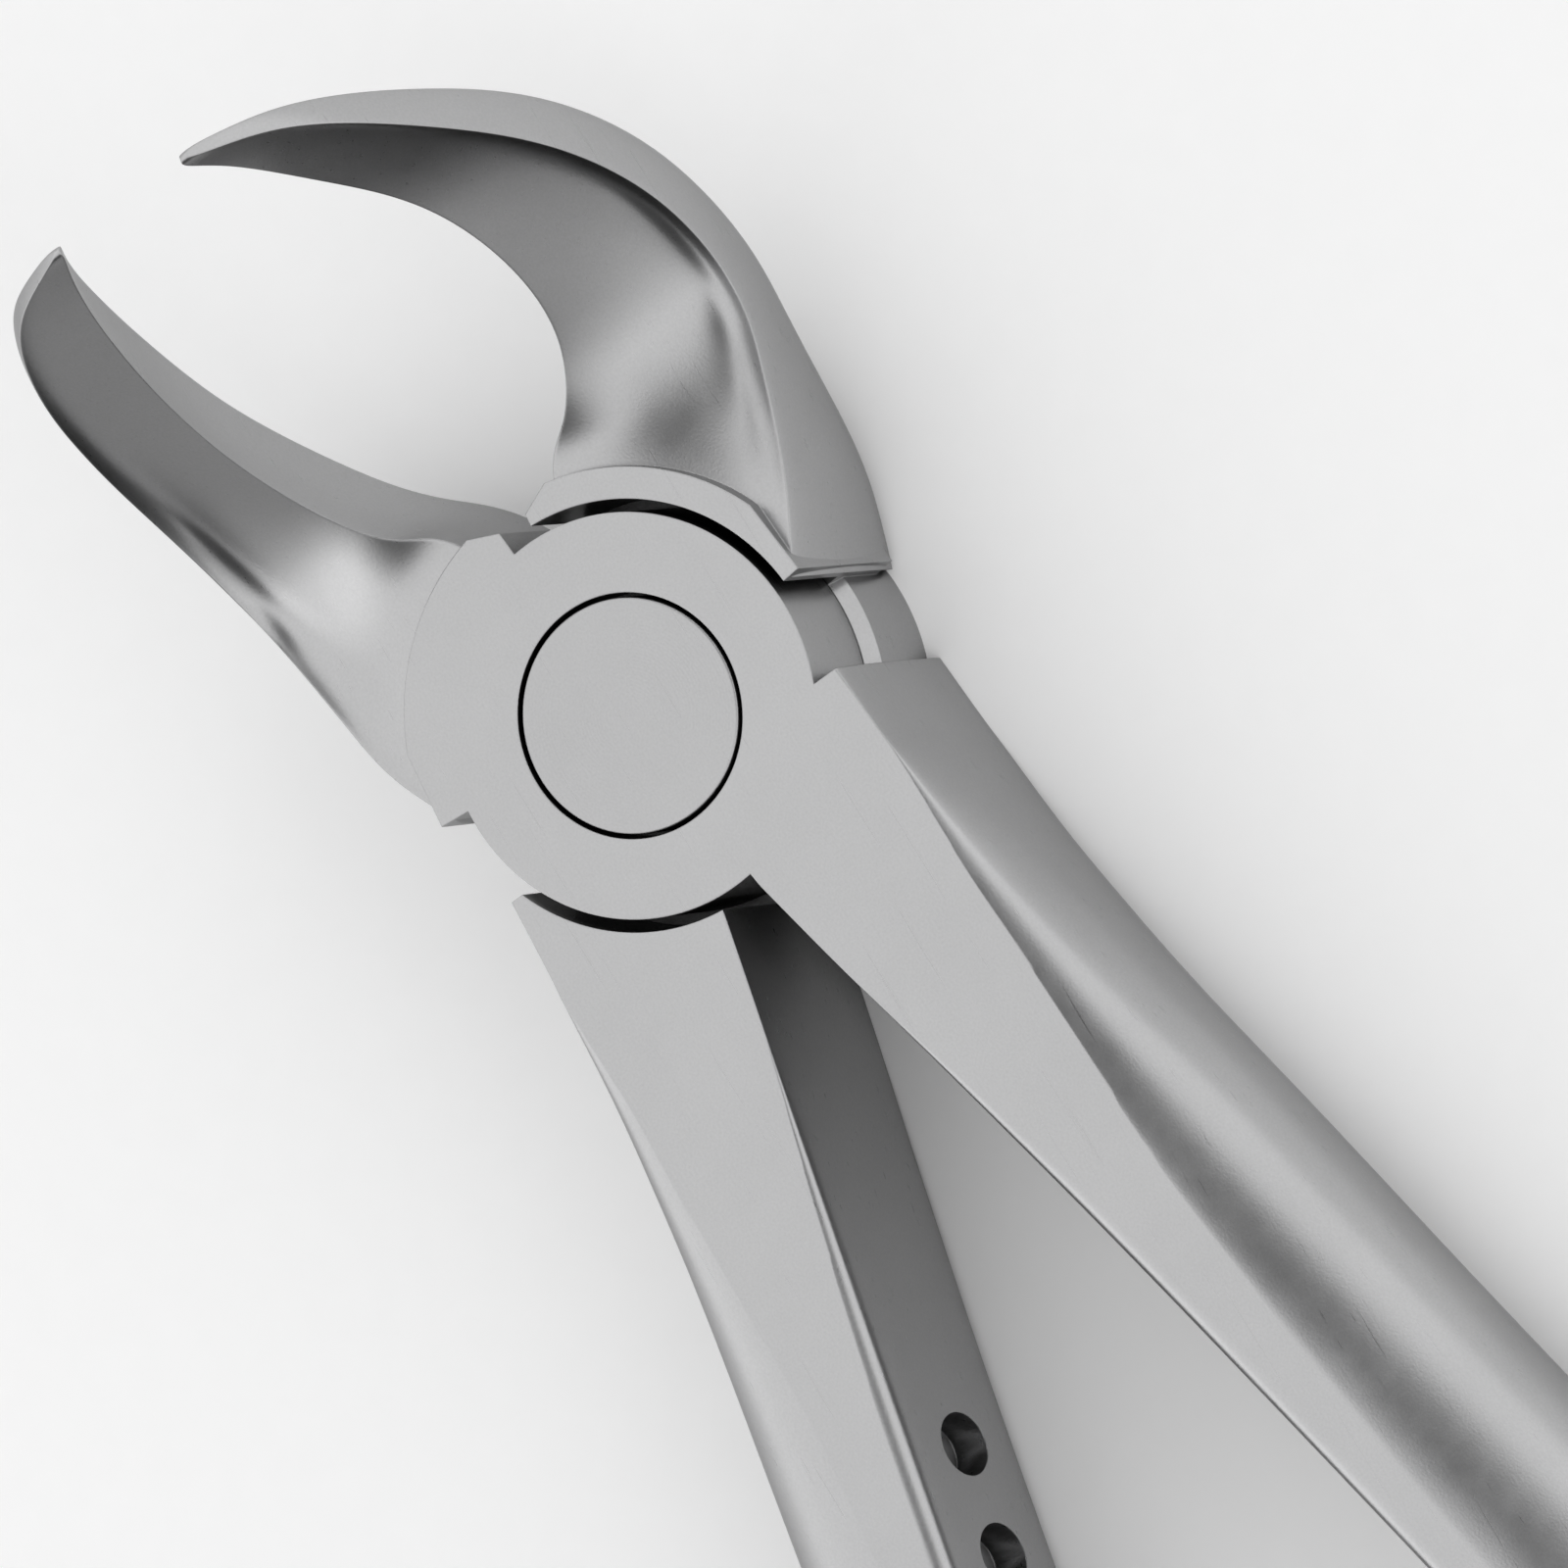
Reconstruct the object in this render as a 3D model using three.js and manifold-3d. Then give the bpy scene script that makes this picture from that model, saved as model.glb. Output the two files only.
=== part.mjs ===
// Lower molar extraction forceps with a lap joint: two forged halves that turn on a
// disc-headed pivot pin, held from behind by a flush round nut.
// Millimetres, +Z up. The forceps lie on their rear face: the pivot axis is the Z axis,
// z = 0 is the rear face of the joint, the beaks point along +X and curve up, and the
// handles run along -X. The halves are shown part open, each turned the same amount
// from the middle plane y = 0.

import * as THREE from "three";
import { mergeVertices } from "three/addons/utils/BufferGeometryUtils.js";
import Module from "manifold-3d";

const wasm = await Module();
wasm.setup();

// ---------- Driving dimensions ----------

const JOINT_DEPTH = 11; // rear face to front face
const PLATE_GAP = 0.12; // sliding clearance between the two plates
const FRONT_PLATE_RADIUS = 8.5;
const RIM_STEP = 0.5; // how much wider the rear plate is
const RIM_CHAMFER = 0.7; // height of the slope on the rear plate's rim, as wide as the step
const FRONT_SHOULDER_GAP = 0.55; // front plate's rim to the rear half's shoulders
const REAR_SHOULDER_GAP = 0.3; // rear plate's rim to the front half's shoulders

const BEAK_REACH = 25.8; // pivot axis to tip, along X
const BEAK_RISE = 18.6; // front face to tip, along Z
const BEAK_SPREAD = 13.3; // middle plane to the widest point of a beak
const TIP_OFFSET = 3.4; // middle plane to a tip
const TIP_SIZE = 0.6;

const HANDLE_LENGTH = 140; // pivot axis to handle end, along X
const HANDLE_WIDTH = 8.2; // across a handle, in the plane of opening
const HANDLE_SPREAD = 23; // middle plane to a handle's inner face at its end

const PIVOT_HEAD_RADIUS = 4.95;
const PIVOT_HEAD_DEPTH = 2.4;
const PIVOT_SHANK_RADIUS = 3;
const PIVOT_THREAD_RADIUS = 2.2;
const HEAD_RING_GAP = 0.2; // the fine dark ring round the head
const RUNNING_CLEARANCE = 0.05; // shank in the front plate's bore
const SEAT_CLEARANCE = 0.03; // pieces that are fixed to each other

const NUT_RADIUS = 3.8;
const NUT_DEPTH = 2;
const SEAT_WEB = 1; // rear plate's ledge between the nut and the shank
const SPANNER_HOLE_RADIUS = 0.45;
const SPANNER_HOLE_DEPTH = 1.1;

const POCKET_COUNT = 14;
const POCKET_PITCH = 4.85;
const POCKET_LENGTH = 2.8; // along the handle
const POCKET_WIDTH = 4.4; // across the handle's inner face
const POCKET_DEPTH = 1.5;
const POCKET_POINT = 0.8; // height of the cone at the bottom
const FIRST_POCKET = 24.3; // crotch to the first pocket, along the handle

const SHOULDER_START = THREE.MathUtils.degToRad(4.3); // from the middle plane, beak side
const SHOULDER_END = THREE.MathUtils.degToRad(85);

const LAND_WIDTH = 1.1; // flat land round the joint, on the beak side
const LAND_NOTCH = 0.8; // how far the land is set back where the two beaks face each other
const LAND_START = THREE.MathUtils.degToRad(12);
const LAND_END = THREE.MathUtils.degToRad(66);
const LAND_OUTER_WIDTH = 0.6; // the land's width where it ends at the outer shoulder
const LAND_ROOT = 4; // how far the land reaches in under the plate
const LAND_HEEL = 1.2; // rear face to the underside of the land

const CROTCH_OFFSET = 0.2; // front plate's rim to the point where a handle's inner face starts
const CROTCH_Y = 0.9;
const LEAVE_ANGLE = THREE.MathUtils.degToRad(13.4); // a handle's slant at the joint
const ARRIVE_ANGLE = THREE.MathUtils.degToRad(2); // and at its end
const INNER_LINE_PULL = 0.34; // how evenly the handle bends between the two
const END_ROUNDING = 3.2;
const END_STEPS = 3;

const ROUND_SEGMENTS = 72;
const SMALL_ROUND_SEGMENTS = 36;
const POCKET_SEGMENTS = 14;
const BEAK_STEPS = 22;
const HANDLE_STEPS = 30;
const HANDLE_STEP_POWER = 1.5; // closer steps near the joint, where the crown begins

// ---------- Sizes that follow ----------

const REAR_PLATE_RADIUS = FRONT_PLATE_RADIUS + RIM_STEP;
const REAR_SHOULDER_RADIUS = FRONT_PLATE_RADIUS + FRONT_SHOULDER_GAP;
const FRONT_SHOULDER_RADIUS = REAR_PLATE_RADIUS + REAR_SHOULDER_GAP;
const JOINT_RADIUS = Math.max(FRONT_SHOULDER_RADIUS, REAR_SHOULDER_RADIUS);
const REAR_PLATE_TOP = (JOINT_DEPTH - PLATE_GAP) / 2;
const FRONT_PLATE_BOTTOM = REAR_PLATE_TOP + PLATE_GAP;
const HEAD_BOTTOM = JOINT_DEPTH - PIVOT_HEAD_DEPTH;
const THREAD_TOP = NUT_DEPTH + SEAT_WEB;
const BEYOND = 1; // how far a cutter runs past the face it opens

// ---------- Materials ----------

const steel = (color, roughness) => new THREE.MeshStandardMaterial({ color, roughness, metalness: 1 });
const SATIN = steel(0xb9babb, 0.42);
const SATIN_REAR = steel(0xb3b4b6, 0.42);
const TURNED = steel(0xc0c1c2, 0.34);

// ---------- Solids ----------

/** A closed three.js geometry as a solid that can be joined and cut. */
function solidOf(geometry) {
  const bare = geometry.index ? geometry.toNonIndexed() : geometry.clone();
  bare.deleteAttribute("normal");
  bare.deleteAttribute("uv");
  const merged = mergeVertices(bare, 1e-4);
  return new wasm.Manifold(
    new wasm.Mesh({
      numProp: 3,
      vertProperties: merged.attributes.position.array,
      triVerts: new Uint32Array(merged.index.array),
    }),
  );
}

/** A named mesh of a solid. */
function meshOf(name, solid, material) {
  const { vertProperties, triVerts, numProp } = solid.getMesh();
  const positions = new Float32Array((vertProperties.length / numProp) * 3);
  for (let i = 0; i < positions.length / 3; i++) {
    positions.set(vertProperties.slice(i * numProp, i * numProp + 3), i * 3);
  }
  const geometry = new THREE.BufferGeometry();
  geometry.setAttribute("position", new THREE.BufferAttribute(positions, 3));
  geometry.setIndex(new THREE.BufferAttribute(triVerts.slice(), 1));
  geometry.computeVertexNormals();
  const mesh = new THREE.Mesh(geometry, material);
  mesh.name = name;
  return mesh;
}

/** An upright cylinder about the Z axis moved to (x, y), from z0 to z1. */
function cylinder(radius, z0, z1, segments = ROUND_SEGMENTS, x = 0, y = 0) {
  const geometry = new THREE.CylinderGeometry(radius, radius, z1 - z0, segments);
  geometry.rotateX(Math.PI / 2);
  geometry.translate(x, y, (z0 + z1) / 2);
  return solidOf(geometry);
}

/** The rear plate, with a sloping rim beside the front plate. */
function rearPlate() {
  const profile = [
    new THREE.Vector2(0, 0),
    new THREE.Vector2(REAR_PLATE_RADIUS, 0),
    new THREE.Vector2(REAR_PLATE_RADIUS, REAR_PLATE_TOP - RIM_CHAMFER),
    new THREE.Vector2(FRONT_PLATE_RADIUS, REAR_PLATE_TOP),
    new THREE.Vector2(0, REAR_PLATE_TOP),
  ];
  const geometry = new THREE.LatheGeometry(profile, ROUND_SEGMENTS);
  geometry.rotateX(Math.PI / 2);
  return solidOf(geometry);
}

/** A closed body through rings of points that all have the same count. */
function loft(rings) {
  const count = rings[0].length;
  const positions = rings.flat().flatMap((p) => [p.x, p.y, p.z]);
  const index = [];
  for (let ring = 0; ring < rings.length - 1; ring++) {
    for (let i = 0; i < count; i++) {
      const a = ring * count + i;
      const b = ring * count + ((i + 1) % count);
      index.push(a, b, b + count, a, b + count, a + count);
    }
  }
  for (const [ring, turn] of [[0, false], [rings.length - 1, true]]) {
    const centre = rings[ring].reduce((sum, p) => sum.add(p), new THREE.Vector3()).divideScalar(count);
    const centreIndex = positions.length / 3;
    positions.push(centre.x, centre.y, centre.z);
    for (let i = 0; i < count; i++) {
      const a = ring * count + i;
      const b = ring * count + ((i + 1) % count);
      index.push(...(turn ? [a, b, centreIndex] : [b, a, centreIndex]));
    }
  }
  const geometry = new THREE.BufferGeometry();
  geometry.setAttribute("position", new THREE.Float32BufferAttribute(positions, 3));
  geometry.setIndex(index);
  const solid = solidOf(geometry);
  if (solid.volume() > 0) {
    return solid;
  }
  geometry.setIndex(index.reverse());
  return solidOf(geometry);
}

/** Points between two corners, pushed sideways by a bow that is greatest halfway. */
function bowed(from, to, count, push) {
  return Array.from({ length: count }, (_, i) => {
    const t = i / count;
    return from.clone().lerp(to, t).addScaledVector(push, 4 * t * (1 - t));
  });
}

// ---------- Beak ----------

// Stations from the joint to the tip. A corner's place is [x, y, z]: z is a share of the
// rise above the front face, and x and y are shares of the reach and of the spread. Near
// the joint, root is the share of the joint's own radius that is added to x and y.
// thick is the depth at the inner and the outer side, in millimetres or, where
// rooted, as a share of the joint's depth. lean is how far the beak has turned up, in
// degrees, and bowl is how deep its front face is hollowed.
const BEAK_STATIONS = [
  {
    inner: [0, 0, -0.02], innerRoot: [0.555, 0.072],
    outer: [0, 0, -0.02], outerRoot: [0.083, 1.0],
    thick: [0.955, 0.955], rooted: true, lean: 0, bowl: 0,
  },
  {
    inner: [0, 0, -0.01], innerRoot: [1.124, 0.279],
    outer: [0, 0, -0.04], outerRoot: [0.444, 1.187],
    thick: [0.8, 0.855], rooted: true, lean: 6, bowl: 0.4,
  },
  {
    inner: [0.2325, 0.1875, 0.03], innerRoot: [0.645, 0.268],
    outer: [0.16, 0.4575, -0.1], outerRoot: [0.444, 0.654],
    thick: [0.573, 0.618], rooted: true, lean: 20, bowl: 1,
  },
  { inner: [0.57, 0.51, 0.08], outer: [0.485, 0.985, -0.13], thick: [4.9, 4.9], lean: 34, bowl: 1.15 },
  { inner: [0.69, 0.568, 0.23], outer: [0.655, 1.0, 0.01], thick: [3.9, 3.8], lean: 48, bowl: 1 },
  { inner: [0.81, 0.54, 0.445], outer: [0.785, 0.935, 0.29], thick: [3.4, 3.0], lean: 58, bowl: 0.6 },
  { inner: [0.903, 0.42, 0.725], outer: [0.88, 0.775, 0.64], thick: [2.4, 2.1], lean: 62, bowl: 0.3 },
  { inner: [0.96, 0.325, 0.885], outer: [0.955, 0.56, 0.895], thick: [1.3, 1.2], lean: 60, bowl: 0.05 },
];
const FREE = [0, 0]; // a corner that doesn't follow the joint's radius
const OUTER_BOW = 0.04; // bulge of a beak's outer side, as a share of its width
const REAR_BOW = 0.1; // bulge of its rear, as a share of its depth
const BOW_START = 0.25; // share of the beak over which that bulge grows from the flat joint

/** A guide curve through the same corner of every station. */
function guide(points) {
  return new THREE.CatmullRomCurve3(points, false, "centripetal");
}

/** One beak on the +Y side, from inside the joint to its point. */
function beak() {
  const corners = BEAK_STATIONS.map((station) => {
    const { inner, innerRoot = FREE, outer, outerRoot = FREE, thick, rooted, lean, bowl } = station;
    const place = ([along, across, up], root) =>
      new THREE.Vector3(
        along * BEAK_REACH + root[0] * JOINT_RADIUS,
        across * BEAK_SPREAD + root[1] * JOINT_RADIUS,
        JOINT_DEPTH + up * BEAK_RISE,
      );
    const turn = THREE.MathUtils.degToRad(lean);
    const back = new THREE.Vector3(Math.sin(turn), 0, -Math.cos(turn));
    const unit = rooted ? JOINT_DEPTH : 1;
    const innerFront = place(inner, innerRoot);
    const outerFront = place(outer, outerRoot);
    return {
      innerFront,
      outerFront,
      outerRear: outerFront.clone().addScaledVector(back, thick[1] * unit),
      innerRear: innerFront.clone().addScaledVector(back, thick[0] * unit),
      hollow: back.clone().multiplyScalar(bowl),
    };
  });
  const tip = new THREE.Vector3(BEAK_REACH, TIP_OFFSET, JOINT_DEPTH + BEAK_RISE);
  const half = TIP_SIZE / 2;
  corners.push({
    innerFront: tip.clone().add(new THREE.Vector3(-half, -half, 0)),
    outerFront: tip.clone().add(new THREE.Vector3(-half, half, 0)),
    outerRear: tip.clone().add(new THREE.Vector3(half, half, -half)),
    innerRear: tip.clone().add(new THREE.Vector3(half, -half, -half)),
    hollow: new THREE.Vector3(),
  });
  const along = (key) => guide(corners.map((c) => c[key]));
  const curves = {
    innerFront: along("innerFront"),
    outerFront: along("outerFront"),
    outerRear: along("outerRear"),
    innerRear: along("innerRear"),
    hollow: along("hollow"),
  };
  const rings = [];
  for (let step = 0; step <= BEAK_STEPS; step++) {
    const t = step / BEAK_STEPS;
    const sides = [curves.innerFront, curves.outerFront, curves.outerRear, curves.innerRear];
    const [a, b, c, d] = sides.map((side) => side.getPoint(t));
    const hollow = curves.hollow.getPoint(t);
    const outward = b.clone().sub(a).multiplyScalar(OUTER_BOW);
    const rearward = c.clone().sub(b).multiplyScalar(REAR_BOW * Math.min(1, t / BOW_START));
    rings.push([
      ...bowed(a, b, 5, hollow),
      ...bowed(b, c, 3, outward),
      ...bowed(c, d, 4, rearward),
      ...bowed(d, a, 3, outward.clone().multiplyScalar(0.5)),
    ]);
  }
  return loft(rings);
}

/** The flat land between the joint and a beak's hollowed front. */
function beakLand() {
  const outline = new THREE.Shape();
  const polar = (radius, angle) => [radius * Math.cos(angle), radius * Math.sin(angle)];
  const inside = FRONT_SHOULDER_RADIUS - LAND_ROOT;
  const edge = JOINT_RADIUS + LAND_WIDTH;
  outline.moveTo(...polar(inside, SHOULDER_START));
  outline.lineTo(...polar(edge - LAND_NOTCH, SHOULDER_START));
  outline.absarc(0, 0, edge, LAND_START, LAND_END, false);
  outline.lineTo(...polar(JOINT_RADIUS + LAND_OUTER_WIDTH, SHOULDER_END));
  outline.lineTo(...polar(inside, SHOULDER_END));
  outline.closePath();
  const depth = JOINT_DEPTH - LAND_HEEL;
  const geometry = new THREE.ExtrudeGeometry(outline, { depth, bevelEnabled: false, curveSegments: 24 });
  geometry.translate(0, 0, LAND_HEEL);
  return solidOf(geometry);
}

// ---------- Handle ----------

// Stations along a handle: at is the share of its length, width and depth are shares of
// HANDLE_WIDTH and JOINT_DEPTH, and flat is the share of the width that is flat in front
// before the outer crown begins. crease says how sharply the crown begins there, from 0
// for the soft crown to 1 for the sharp one, and round is the rounding of the inner
// edges, in millimetres.
const HANDLE_STATIONS = [
  { at: 0, width: 1.043, depth: 1, flat: 0.985, crease: 1, round: 0.06 },
  { at: 0.016, width: 1.03, depth: 1, flat: 0.945, crease: 1, round: 0.08 },
  { at: 0.035, width: 1.018, depth: 1, flat: 0.875, crease: 1, round: 0.12 },
  { at: 0.053, width: 1.012, depth: 1, flat: 0.806, crease: 1, round: 0.25 },
  { at: 0.075, width: 1.006, depth: 1, flat: 0.747, crease: 0.95, round: 0.5 },
  { at: 0.102, width: 1, depth: 1, flat: 0.66, crease: 0.8, round: 0.7 },
  { at: 0.157, width: 1.012, depth: 1, flat: 0.48, crease: 0.5, round: 1 },
  { at: 0.243, width: 0.99, depth: 1, flat: 0.36, crease: 0.25, round: 1 },
  { at: 0.325, width: 0.99, depth: 1, flat: 0.28, crease: 0.05, round: 1 },
  { at: 0.6, width: 1.04, depth: 0.985, flat: 0.26, crease: 0, round: 1 },
  { at: 0.8, width: 1.02, depth: 0.93, flat: 0.26, crease: 0, round: 1 },
  { at: 1, width: 0.88, depth: 0.78, flat: 0.26, crease: 0, round: 1 },
];
// The section inside the joint that a handle grows from, as shares of the joint's radius.
const HANDLE_ROOT = { x: 0.376, y: 0.043, width: 0.935, flat: 0.965 };

// The crown's points: across is the share of its width. The drop there is slope times
// the crown's width plus wall times half the handle's depth, for the sharp crown beside
// the joint and the soft one further down.
const CROWN = [
  { across: 0.2, sharp: { slope: 0.08, wall: 0 }, soft: { slope: 0.025, wall: 0 } },
  { across: 0.42, sharp: { slope: 0.19, wall: 0 }, soft: { slope: 0.095, wall: 0 } },
  { across: 0.64, sharp: { slope: 0.36, wall: 0 }, soft: { slope: 0.2, wall: 0 } },
  { across: 0.82, sharp: { slope: 0.42, wall: 0.13 }, soft: { slope: 0.33, wall: 0 } },
  { across: 0.94, sharp: { slope: 0.42, wall: 0.42 }, soft: { slope: 0.4, wall: 0.1 } },
];

/** The line of a handle's inner face, from the crotch to the end, in the XY plane. */
function innerLine() {
  const start = new THREE.Vector3(-FRONT_PLATE_RADIUS - CROTCH_OFFSET, CROTCH_Y, 0);
  const end = new THREE.Vector3(-HANDLE_LENGTH, HANDLE_SPREAD, 0);
  const pull = (HANDLE_LENGTH + start.x) * INNER_LINE_PULL;
  const leave = new THREE.Vector3(-Math.cos(LEAVE_ANGLE), Math.sin(LEAVE_ANGLE), 0);
  const arrive = new THREE.Vector3(-Math.cos(ARRIVE_ANGLE), Math.sin(ARRIVE_ANGLE), 0);
  return new THREE.CubicBezierCurve3(
    start,
    start.clone().addScaledVector(leave, pull),
    end.clone().addScaledVector(arrive, -pull),
    end,
  );
}

/** One cross-section of a handle, from its inner face outwards. */
function handleRing(origin, outward, { width, depth, flat, crease, round }, shrink = 1) {
  const middle = JOINT_DEPTH / 2;
  const half = depth / 2;
  const crown = width * (1 - flat);
  const frontHalf = [
    [0, half - round],
    [round * 0.3, half - round * 0.3],
    [round, half],
    [width * flat, half],
  ];
  const dropOf = ({ slope, wall }) => slope * crown + wall * half;
  for (const { across, sharp, soft } of CROWN) {
    const drop = THREE.MathUtils.lerp(dropOf(soft), dropOf(sharp), crease);
    frontHalf.push([width * flat + across * crown, half - drop]);
  }
  const rearHalf = frontHalf.map(([across, up]) => [across, -up]).reverse();
  const centre = width / 2;
  return [...frontHalf, [width, 0], ...rearHalf].map(([across, up]) =>
    origin
      .clone()
      .addScaledVector(outward, centre + (across - centre) * shrink)
      .setZ(middle + up * shrink),
  );
}

/** A handle's section sizes at a share of its length, in millimetres. */
function handleSizes() {
  const times = HANDLE_STATIONS.map((s) => s.at);
  const values = HANDLE_STATIONS.flatMap((s) => [s.width, s.depth, s.flat, s.crease, s.round]);
  const curve = new THREE.CubicInterpolant(times, values, values.length / times.length);
  return (t) => {
    const [width, depth, flat, crease, round] = curve.evaluate(t);
    return { width: width * HANDLE_WIDTH, depth: depth * JOINT_DEPTH, flat, crease, round };
  };
}

/** One handle on the +Y side, from inside the joint to its rounded end. */
function handle() {
  const line = innerLine();
  const sizes = handleSizes();
  const acrossAt = (t) => {
    const tangent = line.getTangent(t);
    return new THREE.Vector3(tangent.y, -tangent.x, 0);
  };
  const root = new THREE.Vector3(-HANDLE_ROOT.x, HANDLE_ROOT.y, 0).multiplyScalar(JOINT_RADIUS);
  const rootSize = { ...sizes(0), width: HANDLE_ROOT.width * JOINT_RADIUS, flat: HANDLE_ROOT.flat };
  const rings = [handleRing(root, new THREE.Vector3(0, 1, 0), rootSize)];
  for (let step = 0; step <= HANDLE_STEPS; step++) {
    const t = (step / HANDLE_STEPS) ** HANDLE_STEP_POWER;
    rings.push(handleRing(line.getPoint(t), acrossAt(t), sizes(t)));
  }
  for (let i = 1; i <= END_STEPS; i++) {
    const turn = (i / (END_STEPS + 0.5)) * (Math.PI / 2);
    const origin = line.getPoint(1).addScaledVector(line.getTangent(1), END_ROUNDING * Math.sin(turn));
    rings.push(handleRing(origin, acrossAt(1), sizes(1), Math.cos(turn)));
  }
  return loft(rings);
}

/** The row of drilled relief pockets in a handle's inner face. */
function pockets() {
  const line = innerLine();
  const length = line.getLength();
  const profile = [
    new THREE.Vector2(0, -POCKET_DEPTH - POCKET_POINT),
    new THREE.Vector2(0.5, -POCKET_DEPTH),
    new THREE.Vector2(0.5, 1),
    new THREE.Vector2(0, 1),
  ];
  return Array.from({ length: POCKET_COUNT }, (_, i) => {
    const share = (FIRST_POCKET + i * POCKET_PITCH) / length;
    const at = line.getPointAt(share).setZ(JOINT_DEPTH / 2);
    const tangent = line.getTangentAt(share);
    const open = new THREE.Vector3(-tangent.y, tangent.x, 0);
    const geometry = new THREE.LatheGeometry(profile, POCKET_SEGMENTS);
    geometry.scale(POCKET_LENGTH, 1, POCKET_WIDTH);
    const frame = new THREE.Matrix4().makeBasis(tangent, open, tangent.clone().cross(open));
    geometry.applyMatrix4(frame.setPosition(at));
    return solidOf(geometry);
  });
}

// ---------- The two halves ----------

/** A solid reflected in the middle plane. */
function reflected(solid) {
  const { vertProperties, triVerts } = solid.getMesh();
  const flippedPoints = vertProperties.map((value, i) => (i % 3 === 1 ? -value : value));
  const flippedFaces = triVerts.slice();
  for (let i = 0; i < flippedFaces.length; i += 3) {
    flippedFaces[i] = triVerts[i + 1];
    flippedFaces[i + 1] = triVerts[i];
  }
  return new wasm.Manifold(
    new wasm.Mesh({ numProp: 3, vertProperties: flippedPoints, triVerts: flippedFaces }),
  );
}

const beakSide = beak().add(beakLand());
const handleSide = pockets().reduce((solid, pocket) => solid.subtract(pocket), handle());

/** The rear half: rear plate, the beak on the -Y side and the handle on the +Y side. */
function rearHalf() {
  const recess = cylinder(REAR_SHOULDER_RADIUS, REAR_PLATE_TOP, JOINT_DEPTH + BEYOND);
  const shank = cylinder(
    PIVOT_SHANK_RADIUS + SEAT_CLEARANCE, THREAD_TOP, REAR_PLATE_TOP + BEYOND, SMALL_ROUND_SEGMENTS);
  const thread = cylinder(
    PIVOT_THREAD_RADIUS + SEAT_CLEARANCE, -BEYOND, THREAD_TOP + BEYOND, SMALL_ROUND_SEGMENTS);
  const nutSeat = cylinder(NUT_RADIUS + SEAT_CLEARANCE, -BEYOND, NUT_DEPTH + SEAT_CLEARANCE, ROUND_SEGMENTS);
  return reflected(beakSide)
    .add(handleSide)
    .subtract(recess)
    .add(rearPlate())
    .subtract(shank)
    .subtract(thread)
    .subtract(nutSeat);
}

/** The front half: front plate, the beak on the +Y side and the handle on the -Y side. */
function frontHalf() {
  const recess = cylinder(FRONT_SHOULDER_RADIUS, -BEYOND, FRONT_PLATE_BOTTOM);
  const headSeat = cylinder(
    PIVOT_HEAD_RADIUS + HEAD_RING_GAP, HEAD_BOTTOM - RUNNING_CLEARANCE, JOINT_DEPTH + BEYOND);
  const bore = cylinder(PIVOT_SHANK_RADIUS + RUNNING_CLEARANCE, 0, JOINT_DEPTH, SMALL_ROUND_SEGMENTS);
  return beakSide
    .add(reflected(handleSide))
    .subtract(recess)
    .add(cylinder(FRONT_PLATE_RADIUS, FRONT_PLATE_BOTTOM, JOINT_DEPTH))
    .subtract(bore)
    .subtract(headSeat);
}

// ---------- Pivot ----------

/** The pivot pin: flush disc head in front, plain shank, threaded end flush behind. */
function pivotPin() {
  const shankBottom = THREAD_TOP + SEAT_CLEARANCE;
  return cylinder(PIVOT_HEAD_RADIUS, HEAD_BOTTOM, JOINT_DEPTH)
    .add(cylinder(PIVOT_SHANK_RADIUS, shankBottom, HEAD_BOTTOM + BEYOND, SMALL_ROUND_SEGMENTS))
    .add(cylinder(PIVOT_THREAD_RADIUS, 0, THREAD_TOP + BEYOND, SMALL_ROUND_SEGMENTS));
}

/** The flush round nut behind, with two holes for a pin spanner. */
function pivotNut() {
  const offset = (NUT_RADIUS + PIVOT_THREAD_RADIUS) / 2;
  const spannerHole = (x) =>
    cylinder(SPANNER_HOLE_RADIUS, -BEYOND, SPANNER_HOLE_DEPTH, POCKET_SEGMENTS, x, 0);
  const threadBore = cylinder(
    PIVOT_THREAD_RADIUS + SEAT_CLEARANCE, -BEYOND, NUT_DEPTH + BEYOND, SMALL_ROUND_SEGMENTS);
  return cylinder(NUT_RADIUS, 0, NUT_DEPTH)
    .subtract(threadBore)
    .subtract(spannerHole(offset))
    .subtract(spannerHole(-offset));
}

const group = new THREE.Group();
group.add(
  meshOf("front_half", frontHalf(), SATIN),
  meshOf("rear_half", rearHalf(), SATIN_REAR),
  meshOf("pivot_pin", pivotPin(), TURNED),
  meshOf("pivot_nut", pivotNut(), TURNED),
);

export default group;
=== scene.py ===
"""Tooth extraction forceps with a lap joint: the visual model, its studio and its camera."""

import logging
import math
from dataclasses import dataclass, field, fields, replace
from enum import Enum
from typing import Any, Callable, ClassVar, Sequence

import bmesh
import bpy
from mathutils import Matrix, Vector


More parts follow.
